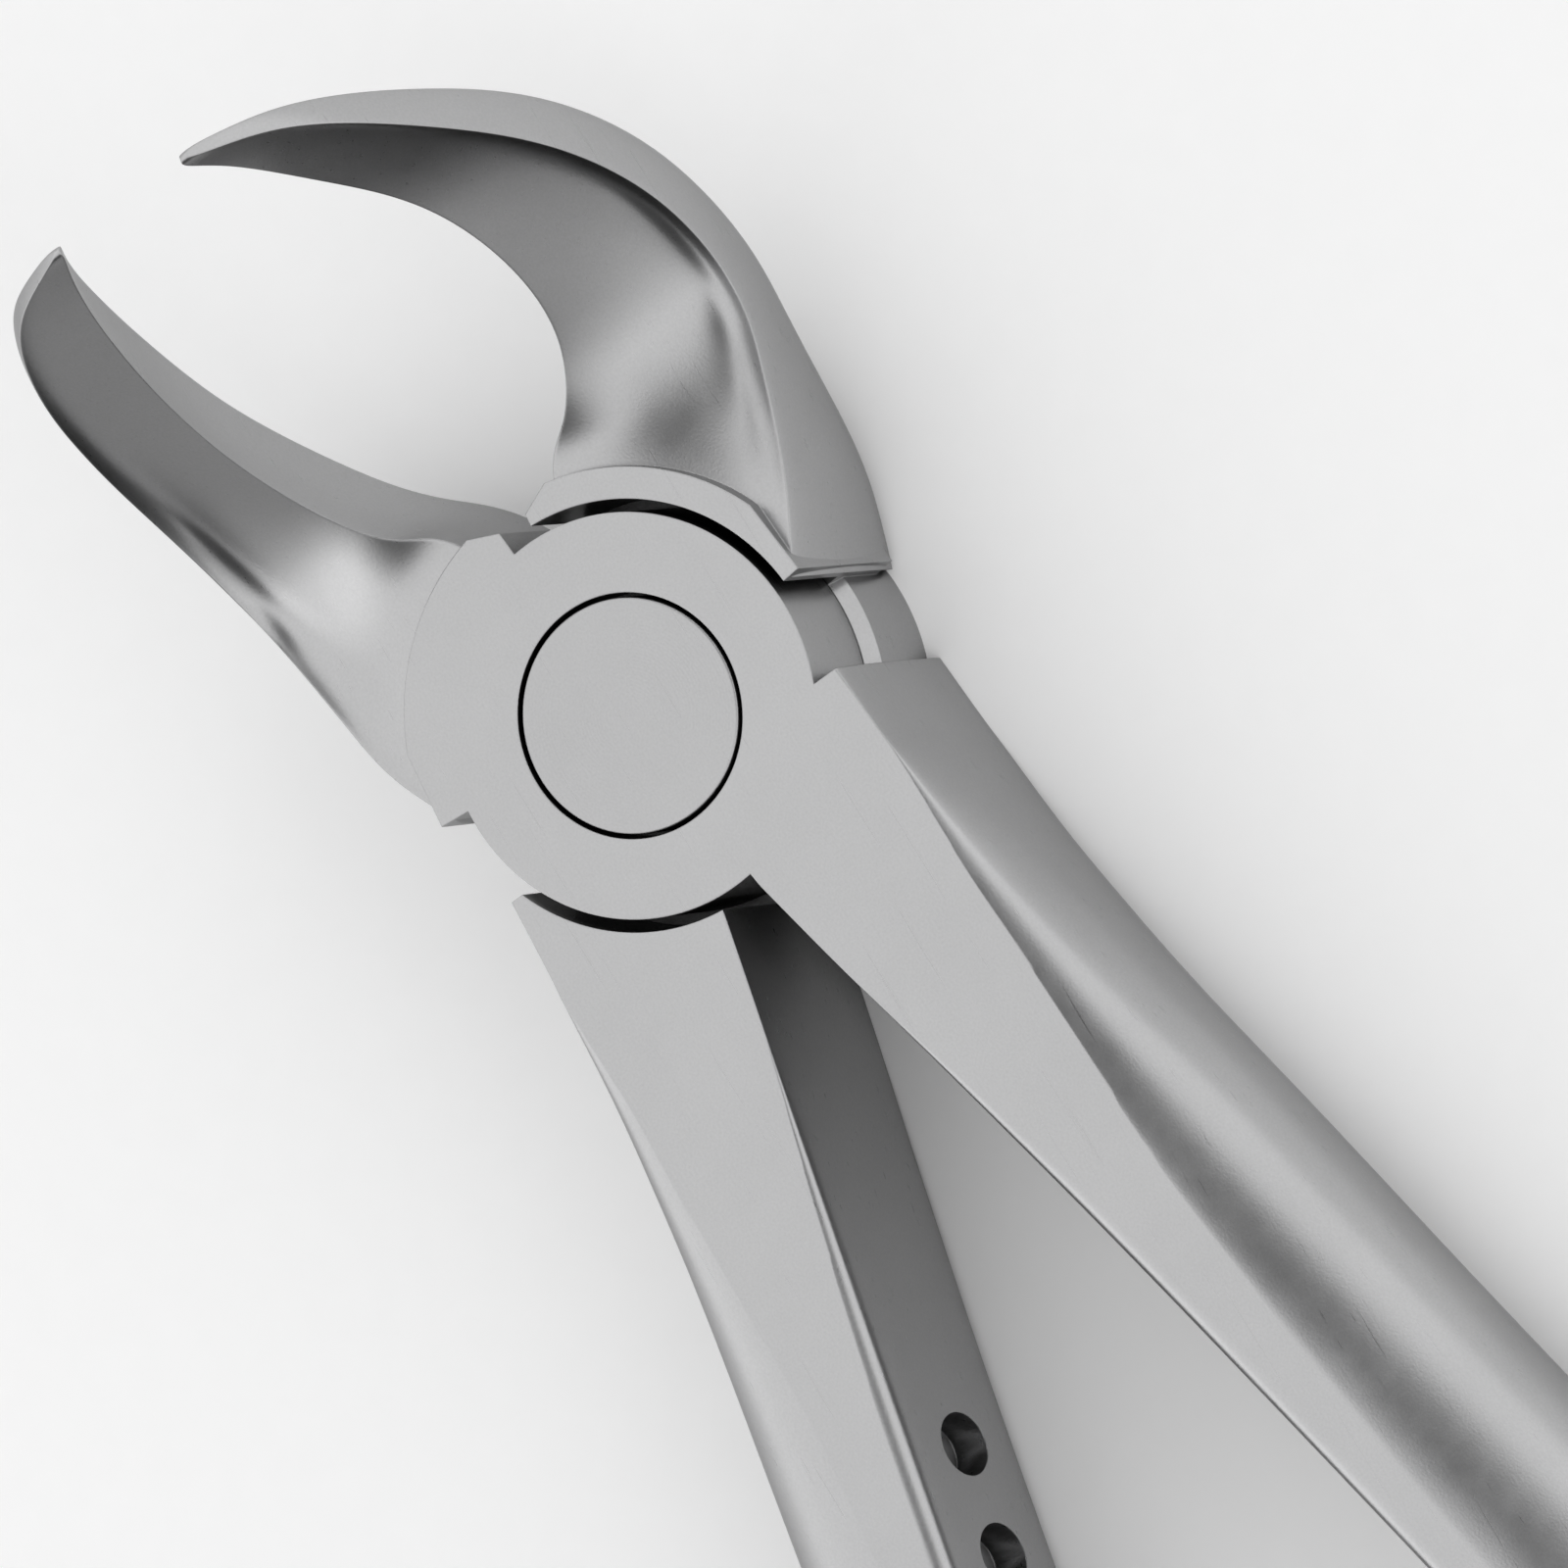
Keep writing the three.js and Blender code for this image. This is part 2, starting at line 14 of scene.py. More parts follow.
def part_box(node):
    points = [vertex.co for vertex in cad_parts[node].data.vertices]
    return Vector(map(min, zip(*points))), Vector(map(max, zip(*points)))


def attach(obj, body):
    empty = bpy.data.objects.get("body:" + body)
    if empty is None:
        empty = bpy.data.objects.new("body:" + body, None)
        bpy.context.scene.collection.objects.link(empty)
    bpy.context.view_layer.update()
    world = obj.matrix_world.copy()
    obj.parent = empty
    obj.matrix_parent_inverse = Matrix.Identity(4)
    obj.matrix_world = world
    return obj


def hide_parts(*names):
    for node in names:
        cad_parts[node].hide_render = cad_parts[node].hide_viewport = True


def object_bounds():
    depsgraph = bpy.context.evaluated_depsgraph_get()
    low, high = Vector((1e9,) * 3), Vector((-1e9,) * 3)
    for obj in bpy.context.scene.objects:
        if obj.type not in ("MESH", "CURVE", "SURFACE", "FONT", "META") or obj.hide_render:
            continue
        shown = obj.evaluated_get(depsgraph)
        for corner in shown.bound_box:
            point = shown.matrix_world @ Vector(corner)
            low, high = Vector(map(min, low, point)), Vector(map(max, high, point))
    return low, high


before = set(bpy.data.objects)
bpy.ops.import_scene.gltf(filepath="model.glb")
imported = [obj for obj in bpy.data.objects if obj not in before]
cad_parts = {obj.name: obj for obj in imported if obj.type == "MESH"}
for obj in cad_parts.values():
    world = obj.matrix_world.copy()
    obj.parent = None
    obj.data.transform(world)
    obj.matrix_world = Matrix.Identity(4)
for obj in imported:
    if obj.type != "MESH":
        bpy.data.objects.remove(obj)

CAD_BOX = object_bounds()
MM = 0.001
UPRIGHT = 0.9  # a normal's rise above which a face counts as level
LOG = logging.getLogger("forceps")


# ---------- Shader building ----------


class Sock:
    """A shader socket whose arithmetic adds Math nodes."""

    def __init__(self, tree: "Tree", socket: bpy.types.NodeSocket) -> None:
        """Keep the socket and the tree it belongs to."""
        self.tree = tree
        self.socket = socket

    def _math(self, operation: str, *values: Any) -> "Sock":
        """Add one Math node on these values."""
        return self.tree.add("ShaderNodeMath", {"operation": operation}, dict(enumerate(values)))

    def __add__(self, other: Any) -> "Sock":
        """Sum."""
        return self._math("ADD", self, other)

    def __mul__(self, other: Any) -> "Sock":
        """Product."""
        return self._math("MULTIPLY", self, other)

    def __sub__(self, other: Any) -> "Sock":
        """Difference."""
        return self._math("SUBTRACT", self, other)

    def __rsub__(self, other: Any) -> "Sock":
        """Difference, with the socket second."""
        return self._math("SUBTRACT", other, self)

    __radd__ = __add__
    __rmul__ = __mul__

    def between(self, low: float, high: float) -> "Sock":
        """A smooth mask that goes from 0 at low to 1 at high."""
        return self.tree.add(
            "ShaderNodeMapRange",
            {"interpolation_type": "SMOOTHSTEP"},
            {"Value": self, "From Min": low, "From Max": high},
        )


class Tree:
    """A material's node tree."""

    def __init__(self, material: bpy.types.Material) -> None:
        """Empty the material's tree."""
        material.use_nodes = True
        self.tree = material.node_tree
        self.tree.nodes.clear()

    def add(
        self,
        kind: str,
        settings: dict[str, Any] | None = None,
        inputs: dict[Any, Any] | None = None,
        output: int | str = 0,
    ) -> Sock:
        """Add a node.

        Args:
            kind: the node's type.
            settings: attributes that are set first.
            inputs: values or sockets by input name or number.
            output: which output to return.

        Returns:
            The chosen output.
        """
        node = self.tree.nodes.new(kind)
        for key, value in (settings or {}).items():
            setattr(node, key, value)
        for key, value in (inputs or {}).items():
            if isinstance(value, Sock):
                self.tree.links.new(value.socket, node.inputs[key])
            else:
                node.inputs[key].default_value = value
        return Sock(self, node.outputs[output])

    def surface(self, shader: Sock) -> None:
        """Link a shader to the material's output."""
        output = self.tree.nodes.new("ShaderNodeOutputMaterial")
        self.tree.links.new(shader.socket, output.inputs["Surface"])


@dataclass(frozen=True)
class SatinSteel:
    """Bead-blasted stainless steel.

    The grain is a fine bump, and faint hairlines and handling marks change the gloss. An ambient-occlusion
    term paints shade into the base colour in crevices and gaps, and where the piece carries the front-shade
    attribute its base colour is darker by that share, as painted shade on the beak's front.
    """

    name: str
    base: float = 0.44
    roughness: float = 0.31
    grain_depth: float = 0.35
    grain_scale: float = 9000.0
    blotch_depth: float = 0.12
    blotch_scale: float = 900.0
    cloud_scale: float = 160.0
    hairlines: float = 0.03
    ring_depth: float = 0.05
    bump: float = 0.04 * MM
    # How far the ambient-occlusion term looks for the painted shade in crevices and gaps.
    crevice: float = 5.0 * MM
    edge: float = 0.09 * MM
    # How much the painted shade on the beak's front darkens the base colour.
    blasting: float = 0.5
    edge_tint: tuple[float, float, float, float] = (0.6, 0.6, 0.6, 1.0)
    turned: bool = False

    def material(self) -> bpy.types.Material:
        """Make the material.

        Returns:
            The finished material.
        """
        material = bpy.data.materials.new(self.name)
        tree = Tree(material)
        place = tree.add("ShaderNodeTexCoord", output="Object")
        grain = self._noise(tree, place, self.grain_scale, 3.0)
        cloud = self._noise(tree, place, self.cloud_scale, 4.0)
        blotch = self._noise(tree, place, self.blotch_scale, 3.0)
        scratches = self._scratches(tree, place)
        # Painted shade: an ambient-occlusion term darkens the base colour in crevices, gaps and corners,
        # down to 0.08 where fully occluded.
        occlusion_shade = tree.add("ShaderNodeAmbientOcclusion", {"samples": 8}, {"Distance": self.crevice}, "AO")
        tone = self.base + (cloud - 0.5) * 0.05 + (grain - 0.5) * 0.09 - scratches * 0.03
        tone = tone * (occlusion_shade.between(0.0, 0.5) * 0.92 + 0.08)
        # Painted shade: the beak's front, marked by a point attribute, gets a darker base colour.
        painted_front_shade = tree.add("ShaderNodeAttribute", {"attribute_name": "painted_front_shade"}, output="Fac")
        tone = tone * (1.0 - painted_front_shade * self.blasting)
        rough = self.roughness + (blotch - 0.5) * 0.07 + (cloud - 0.5) * 0.06 - scratches * 0.06
        colour = tree.add(
            "ShaderNodeCombineColor", {}, {"Red": tone, "Green": tone, "Blue": tone * 1.008}
        )
        height = grain * self.grain_depth + blotch * self.blotch_depth + scratches * -self.hairlines
        if self.turned:
            height = height + self._turning(tree, place) * self.ring_depth
        edge = tree.add("ShaderNodeBevel", {"samples": 4}, {"Radius": self.edge})
        bump = tree.add(
            "ShaderNodeBump",
            {},
            {"Strength": 0.35, "Distance": self.bump, "Height": height, "Normal": edge},
        )
        shader = tree.add(
            "ShaderNodeBsdfPrincipled",
            {},
            {
                "Base Color": colour,
                "Metallic": 1.0,
                "Specular Tint": self.edge_tint,
                "Roughness": rough,
                "Normal": bump,
            },
        )
        tree.surface(shader)
        return material

    @staticmethod
    def _noise(tree: Tree, place: Sock, scale: float, detail: float) -> Sock:
        """Noise at a scale, in Object coordinates.

        Args:
            tree: the material's tree.
            place: the Object coordinates.
            scale: the noise's scale.
            detail: its detail.

        Returns:
            The noise.
        """
        return tree.add(
            "ShaderNodeTexNoise", {}, {"Vector": place, "Scale": scale, "Detail": detail}
        )

    def _scratches(self, tree: Tree, place: Sock) -> Sock:
        """Sparse fine hairlines that run along the instrument.

        Args:
            tree: the material's tree.
            place: the Object coordinates.

        Returns:
            The hairlines' mask.
        """
        stretched = tree.add(
            "ShaderNodeMapping",
            {},
            {"Vector": place, "Scale": (120.0, 5200.0, 5200.0), "Rotation": (0.0, 0.0, 0.35)},
        )
        lines = tree.add("ShaderNodeTexNoise", {}, {"Vector": stretched, "Scale": 1.0, "Detail": 2.0})
        return lines.between(0.66, 0.74)

    @staticmethod
    def _turning(tree: Tree, place: Sock) -> Sock:
        """Fine rings about the pivot axis, left by a lathe.

        Args:
            tree: the material's tree.
            place: the Object coordinates.

        Returns:
            The rings' height.
        """
        flat = tree.add("ShaderNodeVectorMath", {"operation": "MULTIPLY"}, {0: place, 1: (1.0, 1.0, 0.0)})
        radius = tree.add("ShaderNodeVectorMath", {"operation": "LENGTH"}, {0: flat}, "Value")
        return tree.add("ShaderNodeMath", {"operation": "SINE"}, {0: radius * 42000.0})


# ---------- Modelling by hand ----------


class Bench:
    """Modelling steps on one object at a time."""

    @staticmethod
    def clear() -> None:
        """Leave edit mode and deselect everything."""
        if bpy.context.object and bpy.context.object.mode != "OBJECT":
            bpy.ops.object.mode_set(mode="OBJECT")
        bpy.ops.object.select_all(action="DESELECT")

    @staticmethod
    def take(piece: bpy.types.Object) -> None:
        """Select one object alone and make it active."""
        Bench.clear()
        piece.select_set(True)
        bpy.context.view_layer.objects.active = piece

    @staticmethod
    def opened(piece: bpy.types.Object, parts: str = "FACE") -> bmesh.types.BMesh:
        """Enter edit mode with nothing selected.

        Args:
            piece: the object.
            parts: what is selected next, FACE or EDGE.

        Returns:
            The mesh under edit.
        """
        Bench.take(piece)
        bpy.ops.object.mode_set(mode="EDIT")
        bpy.ops.mesh.select_mode(type=parts)
        bpy.ops.mesh.select_all(action="DESELECT")
        return bmesh.from_edit_mesh(piece.data)

    @staticmethod
    def settle(piece: bpy.types.Object) -> None:
        """Put a piece's place into its mesh, so that its object is at the origin."""
        Bench.take(piece)
        bpy.ops.object.transform_apply(location=True, rotation=True, scale=True)

    @staticmethod
    def drum(name: str, radius: float, low: float, high: float, sides: int = 192) -> bpy.types.Object:
        """A round body about the pivot axis.

        Args:
            name: the object's name.
            radius: its radius.
            low: its underside's height.
            high: its top's height.
            sides: how many sides stand for the circle.

        Returns:
            The object.
        """
        Bench.clear()
        bpy.ops.mesh.primitive_cylinder_add(
            vertices=sides, radius=radius, depth=high - low, location=(0.0, 0.0, (low + high) / 2)
        )
        piece = bpy.context.object
        piece.name = name
        Bench.settle(piece)
        return piece

    @staticmethod
    def rim(piece: bpy.types.Object, height: float, radius: float, width: float, steps: int = 2) -> None:
        """Bevel the round edge at a height and radius.

        Args:
            piece: the object.
            height: the edge's height.
            radius: the edge's radius about the pivot axis.
            width: the bevel's width.
            steps: the bevel's segments.
        """
        edit = Bench.opened(piece, "EDGE")
        near = 0.02 * MM
        for edge in edit.edges:
            ends = edge.verts
            edge.select = all(
                abs(v.co.z - height) < near and abs(v.co.xy.length - radius) < near for v in ends
            )
        bmesh.update_edit_mesh(piece.data)
        bpy.ops.mesh.bevel(offset=width, segments=steps, profile=0.5)
        bpy.ops.object.mode_set(mode="OBJECT")

    @staticmethod
    def slope(piece: bpy.types.Object, top: float, inward: float, drop: float) -> None:
        """Give a drum's top a sloping rim.

        Args:
            piece: the drum.
            top: its top's height.
            inward: how far the slope reaches in from the side.
            drop: how far it reaches down.
        """
        edit = Bench.opened(piece)
        for face in edit.faces:
            face.select = face.normal.z > UPRIGHT
        radius = max(v.co.xy.length for v in edit.verts)
        bmesh.update_edit_mesh(piece.data)
        bpy.ops.transform.translate(value=(0.0, 0.0, -drop))
        bpy.ops.mesh.extrude_region_move(TRANSFORM_OT_translate={"value": (0.0, 0.0, drop)})
        share = 1.0 - inward / radius
        bpy.ops.transform.resize(value=(share, share, 1.0), center_override=(0.0, 0.0, top))
        bpy.ops.object.mode_set(mode="OBJECT")

    @staticmethod
    def sweep(
        name: str,
        rings: Sequence[Sequence[Vector]],
        creases: dict[int, Callable[[float], float]],
        levels: int,
    ) -> bpy.types.Object:
        """Extrude a filled outline from section to section, then smooth it.

        Args:
            name: the object's name.
            rings: the sections, each with the same number of points.
            creases: for a point of the section, how sharp its edge is along the sweep,
                as a function of the share of the way.
            levels: how many times the cage is subdivided.

        Returns:
            The smoothed object.
        """
        Bench.clear()
        count = len(rings[0])
        bpy.ops.mesh.primitive_circle_add(vertices=count, radius=MM, fill_type="NGON")
        piece = bpy.context.object
        piece.name = name
        bpy.ops.object.mode_set(mode="EDIT")
        bpy.ops.mesh.select_mode(type="FACE")
        bpy.ops.mesh.select_all(action="SELECT")
        edit = bmesh.from_edit_mesh(piece.data)
        edit.faces.ensure_lookup_table()
        for vertex, point in zip(edit.faces[0].verts, rings[0]):
            vertex.co = point
        bmesh.update_edit_mesh(piece.data)
        rows = [[v.index for v in edit.faces[0].verts]]
        for ring, previous in zip(rings[1:], rings):
            bpy.ops.mesh.extrude_region_move()
            edit = bmesh.from_edit_mesh(piece.data)
            cap = [v for v in edit.verts if v.select]
            row = [min(cap, key=lambda v: (v.co - point).length_squared) for point in previous]
            for vertex, point in zip(row, ring):
                vertex.co = point
            edit.verts.index_update()
            rows.append([v.index for v in row])
            bmesh.update_edit_mesh(piece.data)
        bpy.ops.mesh.select_all(action="SELECT")
        bpy.ops.mesh.normals_make_consistent(inside=False)
        Bench._crease(piece, rows, creases)
        bpy.ops.object.mode_set(mode="OBJECT")
        smooth = piece.modifiers.new("smooth", "SUBSURF")
        smooth.levels = smooth.render_levels = levels
        smooth.boundary_smooth = "PRESERVE_CORNERS"
        bpy.ops.object.modifier_apply(modifier=smooth.name)
        return piece

    @staticmethod
    def _crease(
        piece: bpy.types.Object, rows: list[list[int]], creases: dict[int, Callable[[float], float]]
    ) -> None:
        """Crease chosen lengthwise edges, and the first end outline fully.

        Args:
            piece: the swept object, in edit mode.
            rows: its points' numbers, ring by ring.
            creases: how sharp an edge is along the sweep, by its point in the section.
        """
        edit = bmesh.from_edit_mesh(piece.data)
        edit.verts.ensure_lookup_table()
        layer = edit.edges.layers.float.get("crease_edge") or edit.edges.layers.float.new("crease_edge")
        last = len(rows) - 1
        for corner, sharpness in creases.items():
            for row in range(last):
                ends = [edit.verts[rows[row][corner]], edit.verts[rows[row + 1][corner]]]
                edge = edit.edges.get(ends)
                edge[layer] = max(0.0, min(1.0, sharpness((row + 0.5) / last)))
        outline = rows[0]
        for here, there in zip(outline, outline[1:] + outline[:1]):
            edit.edges.get([edit.verts[here], edit.verts[there]])[layer] = 1.0
        bmesh.update_edit_mesh(piece.data)

    @staticmethod
    def combine(piece: bpy.types.Object, tool: bpy.types.Object, operation: str) -> None:
        """Join, cut or intersect a piece with a tool, which is used up.

        Args:
            piece: the object that changes.
            tool: the other object.
            operation: UNION, DIFFERENCE or INTERSECT.
        """
        Bench.take(piece)
        step = piece.modifiers.new("combine", "BOOLEAN")
        step.operation = operation
        step.solver = "EXACT"
        step.object = tool
        bpy.ops.object.modifier_apply(modifier=step.name)
        bpy.data.objects.remove(tool)

    @staticmethod
    def tidy(piece: bpy.types.Object, angle: float) -> None:
        """Merge stray points, make the faces point outwards and smooth below an angle.

        Args:
            piece: the object.
            angle: the angle between faces above which an edge stays sharp.
        """
        Bench.take(piece)
        bpy.ops.object.mode_set(mode="EDIT")
        bpy.ops.mesh.select_all(action="SELECT")
        bpy.ops.mesh.remove_doubles(threshold=0.002 * MM)
        bpy.ops.mesh.normals_make_consistent(inside=False)
        bpy.ops.object.mode_set(mode="OBJECT")
        bpy.ops.object.shade_smooth_by_angle(angle=angle)
        even = piece.modifiers.new("even", "WEIGHTED_NORMAL")
        even.keep_sharp = True
        bpy.ops.object.modifier_apply(modifier=even.name)

    @staticmethod
    def mirrored(piece: bpy.types.Object, name: str) -> bpy.types.Object:
        """A copy with its own mesh, reflected in the middle plane.

        Args:
            piece: the object to copy.
            name: the copy's name.

        Returns:
            The copy.
        """
        Bench.take(piece)
        bpy.ops.object.duplicate(linked=False)
        copy = bpy.context.object
        copy.name = name
        bpy.ops.object.mode_set(mode="EDIT")
        bpy.ops.mesh.select_all(action="SELECT")
        bpy.ops.transform.resize(value=(1.0, -1.0, 1.0), center_override=(0.0, 0.0, 0.0))
        bpy.ops.mesh.normals_make_consistent(inside=False)
        bpy.ops.object.mode_set(mode="OBJECT")
        return copy


def along(values: Sequence[Any], share: float) -> Any:
    """A smooth curve through values at equal steps.

    Args:
        values: numbers or vectors.
        share: how far along, from 0 to 1.

    Returns:
        The Catmull-Rom value there.
    """
    last = len(values) - 1
    place = min(max(share, 0.0), 1.0) * last
    i = min(int(place), last - 1)
    t = place - i
    p1, p2 = values[i], values[i + 1]
    p0 = values[i - 1] if i > 0 else p1 * 2 - p2
    p3 = values[i + 2] if i + 2 <= last else p2 * 2 - p1
    return 0.5 * (
        p1 * 2
        + (p2 - p0) * t
        + (p0 * 2 - p1 * 5 + p2 * 4 - p3) * t * t
        + (p1 * 3 - p0 - p2 * 3 + p3) * t * t * t
    )


def follow(places: Sequence[float], values: Sequence[float], place: float) -> float:
    """A smooth curve through values at unequal places.

    Args:
        places: where the values stand, in rising order.
        values: the values.
        place: where to read.

    Returns:
        The cubic value there.
    """
    last = len(places) - 1
    i = max(0, min(last - 1, sum(1 for known in places[1:] if known <= place)))

    def slope(at: int) -> float:
        """The curve's slope at a value, from its neighbours."""
        low, high = max(at - 1, 0), min(at + 1, last)
        return (values[high] - values[low]) / (places[high] - places[low])

    step = places[i + 1] - places[i]
    t = (place - places[i]) / step
    return (
        values[i] * (2 * t**3 - 3 * t**2 + 1)
        + values[i + 1] * (3 * t**2 - 2 * t**3)
        + slope(i) * step * (t**3 - 2 * t**2 + t)
        + slope(i + 1) * step * (t**3 - t**2)
    )


def rise(value: float, low: float, high: float) -> float:
    """A soft step from 0 at low to 1 at high."""
    share = min(max((value - low) / (high - low), 0.0), 1.0)
    return share * share * (3.0 - 2.0 * share)


# ---------- Sizes shared by the halves ----------


@dataclass
class JointSizes:
    """The lap joint's sizes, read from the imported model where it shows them."""

    depth: float = field(default_factory=lambda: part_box("pivot_pin")[1].z)
    head_radius: float = field(default_factory=lambda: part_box("pivot_pin")[1].x)
    nut_radius: float = field(default_factory=lambda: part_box("pivot_nut")[1].x)
    nut_depth: float = field(default_factory=lambda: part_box("pivot_nut")[1].z)
    front_radius: float = 8.5 * MM
    rim_step: float = 0.5 * MM
    rim_chamfer: float = 0.7 * MM
    plate_gap: float = 0.12 * MM
    front_shoulder_gap: float = 0.55 * MM
    rear_shoulder_gap: float = 0.3 * MM
    head_depth: float = 2.4 * MM
    ring_gap: float = 0.2 * MM
    shank_radius: float = 3.0 * MM
    thread_radius: float = 2.2 * MM
    seat_gap: float = 0.03 * MM
    seat_web: float = 1.0 * MM
    edge: float = 0.12 * MM

    @property
    def rear_radius(self) -> float:
        """Radius of the rear plate."""
        return self.front_radius + self.rim_step

    @property
    def radius(self) -> float:
        """Radius of the wider recess, which the beaks and handles grow from."""
        return self.rear_radius + self.rear_shoulder_gap

    @property
    def rear_top(self) -> float:
        """Height of the rear plate's sliding face."""
        return (self.depth - self.plate_gap) / 2

    @property
    def front_bottom(self) -> float:
        """Height of the front plate's sliding face."""
        return self.rear_top + self.plate_gap

    @property
    def head_bottom(self) -> float:
        """Height of the disc head's underside."""
        return self.depth - self.head_depth


@dataclass(frozen=True)
class BeakStation:
    """One section of a beak.

    inner and outer are the front corners, as shares of the reach, the spread and the rise,
    and their roots are shares of the joint's radius added to x and y. thick is the depth at
    the inner and outer side, in millimetres; lean is how far the beak has turned up.
    """

    inner: tuple[float, float, float]
    outer: tuple[float, float, float]
    thick: tuple[float, float]
    lean: float
    bowl: float
    inner_root: tuple[float, float] = (0.0, 0.0)
    outer_root: tuple[float, float] = (0.0, 0.0)


@dataclass
class Beak:
    """One sculpted beak on the +Y side, from inside the joint to its point."""

    joint: JointSizes
    reach: float = field(default_factory=lambda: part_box("front_half")[1].x - 0.3 * MM)
    top: float = field(default_factory=lambda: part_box("front_half")[1].z)
    spread: float = 13.3 * MM
    tip_offset: float = 3.4 * MM
    tip_size: float = 0.5 * MM
    outer_bow: float = 0.04
    rear_bow: float = 0.1
    bow_start: float = 0.25
    hollow: tuple[tuple[float, float], ...] = (
        (0.07, 0.06),
        (0.22, 0.22),
        (0.43, 0.5),
        (0.64, 0.82),
        (0.82, 1.0),
        (0.94, 0.5),
    )
    outer_bulge: tuple[tuple[float, float], ...] = ((0.06, 0.4), (0.5, 1.0), (0.9, 0.5))
    rear_bulge: tuple[tuple[float, float], ...] = ((0.15, 0.5), (0.5, 1.0), (0.85, 0.5))
    inner_bulge: tuple[tuple[float, float], ...] = ((0.1, 0.1), (0.5, 0.5), (0.92, 0.1))
    steps: int = 18
    levels: int = 3
    stations: tuple[BeakStation, ...] = (
        BeakStation((0, 0, -0.02), (0, 0, -0.02), (10.5, 10.5), 0, 0.0, (0.555, 0.072), (0.083, 1.0)),
        BeakStation((0, 0, -0.01), (0, 0, -0.04), (8.8, 9.4), 6, 0.4, (1.124, 0.279), (0.444, 1.187)),
        BeakStation(
            (0.2325, 0.1875, 0.03), (0.16, 0.4575, -0.1), (6.3, 6.8), 20, 1.0, (0.645, 0.268), (0.444, 0.654)
        ),
        BeakStation((0.57, 0.51, 0.08), (0.485, 0.985, -0.13), (4.9, 4.9), 34, 1.15),
        BeakStation((0.69, 0.568, 0.23), (0.655, 1.0, 0.01), (3.9, 3.8), 48, 1.0),
        BeakStation((0.81, 0.54, 0.445), (0.785, 0.935, 0.29), (3.4, 3.0), 58, 0.6),
        BeakStation((0.903, 0.42, 0.725), (0.88, 0.775, 0.64), (2.4, 2.1), 62, 0.3),
        BeakStation((0.96, 0.325, 0.885), (0.955, 0.56, 0.895), (1.3, 1.2), 60, 0.05),
    )
    land_width: float = 1.1 * MM
    land_notch: float = 0.8 * MM
    land_outer_width: float = 0.6 * MM
    land_root: float = 4.0 * MM
    land_heel: float = 1.2 * MM
    shoulder_start: float = math.radians(4.3)
    shoulder_end: float = math.radians(85.0)
    land_start: float = math.radians(12.0)
    land_end: float = math.radians(66.0)

    def corner(self, place: tuple[float, float, float], root: tuple[float, float]) -> Vector:
        """A front corner's point from its shares.

        Args:
            place: the corner's shares of the reach, the spread and the rise.
            root: its shares of the joint's radius.

        Returns:
            The corner.
        """
        return Vector(
            (
                place[0] * self.reach + root[0] * self.joint.radius,
                place[1] * self.spread + root[1] * self.joint.radius,
                self.joint.depth + place[2] * (self.top - self.joint.depth),
            )
        )

    def corners(self) -> dict[str, list[Vector]]:
        """The guide lines along the beak's four edges and its hollow.

        Returns:
            Points at every station, by edge.
        """
        lines: dict[str, list[Vector]] = {key: [] for key in ("a", "b", "c", "d", "hollow")}
        for station in self.stations:
            turn = math.radians(station.lean)
            back = Vector((math.sin(turn), 0.0, -math.cos(turn)))
            inner = self.corner(station.inner, station.inner_root)
            outer = self.corner(station.outer, station.outer_root)
            lines["a"].append(inner)
            lines["b"].append(outer)
            lines["c"].append(outer + back * station.thick[1] * MM)
            lines["d"].append(inner + back * station.thick[0] * MM)
            lines["hollow"].append(back * station.bowl * MM)
        tip = Vector((self.reach, self.tip_offset, self.top))
        half = self.tip_size / 2
        for key, (x, y, z) in zip("abcd", ((-1, -1, 0), (-1, 1, 0), (1, 1, -1), (1, -1, -1))):
            lines[key].append(tip + Vector((x, y, z)) * half)
        lines["hollow"].append(Vector())
        return lines

    def section(self, lines: dict[str, list[Vector]], share: float) -> list[Vector]:
        """One outline of the beak.

        Args:
            lines: the guide lines.
            share: how far along the beak, from 0 to 1.

        Returns:
            The outline's points, from the inner front corner outwards.
        """
        a, b, c, d, sink = (along(lines[key], share) for key in ("a", "b", "c", "d", "hollow"))
        outward = (b - a) * self.outer_bow
        rearward = (c - b) * self.rear_bow * min(1.0, share / self.bow_start)
        ring = []
        for start, stop, push, profile in (
            (a, b, sink, self.hollow),
            (b, c, outward, self.outer_bulge),
            (c, d, rearward, self.rear_bulge),
            (d, a, outward, self.inner_bulge),
        ):
            ring.append(start)
            ring += [start.lerp(stop, t) + push * amount for t, amount in profile]
        return ring

    def build(self) -> bpy.types.Object:
        """Sweep the beak and join it to the flat land round the joint.

        Returns:
            The beak.
        """
        lines = self.corners()
        rings = [self.section(lines, step / self.steps) for step in range(self.steps + 1)]
        corners = [0]
        for profile in (self.hollow, self.outer_bulge, self.rear_bulge):
            corners.append(corners[-1] + len(profile) + 1)
        inner_front, outer_front, outer_rear, inner_rear = corners
        creases = {
            inner_front: lambda t: 0.95 - 0.25 * t,
            outer_front: lambda t: 0.92 - 0.1 * t,
            outer_rear: lambda t: 0.5 - 0.5 * t,
            inner_rear: lambda t: 0.85 - 0.4 * t,
        }
        piece = Bench.sweep("beak", rings, creases, self.levels)
        Bench.combine(piece, self.land(), "UNION")
        return piece

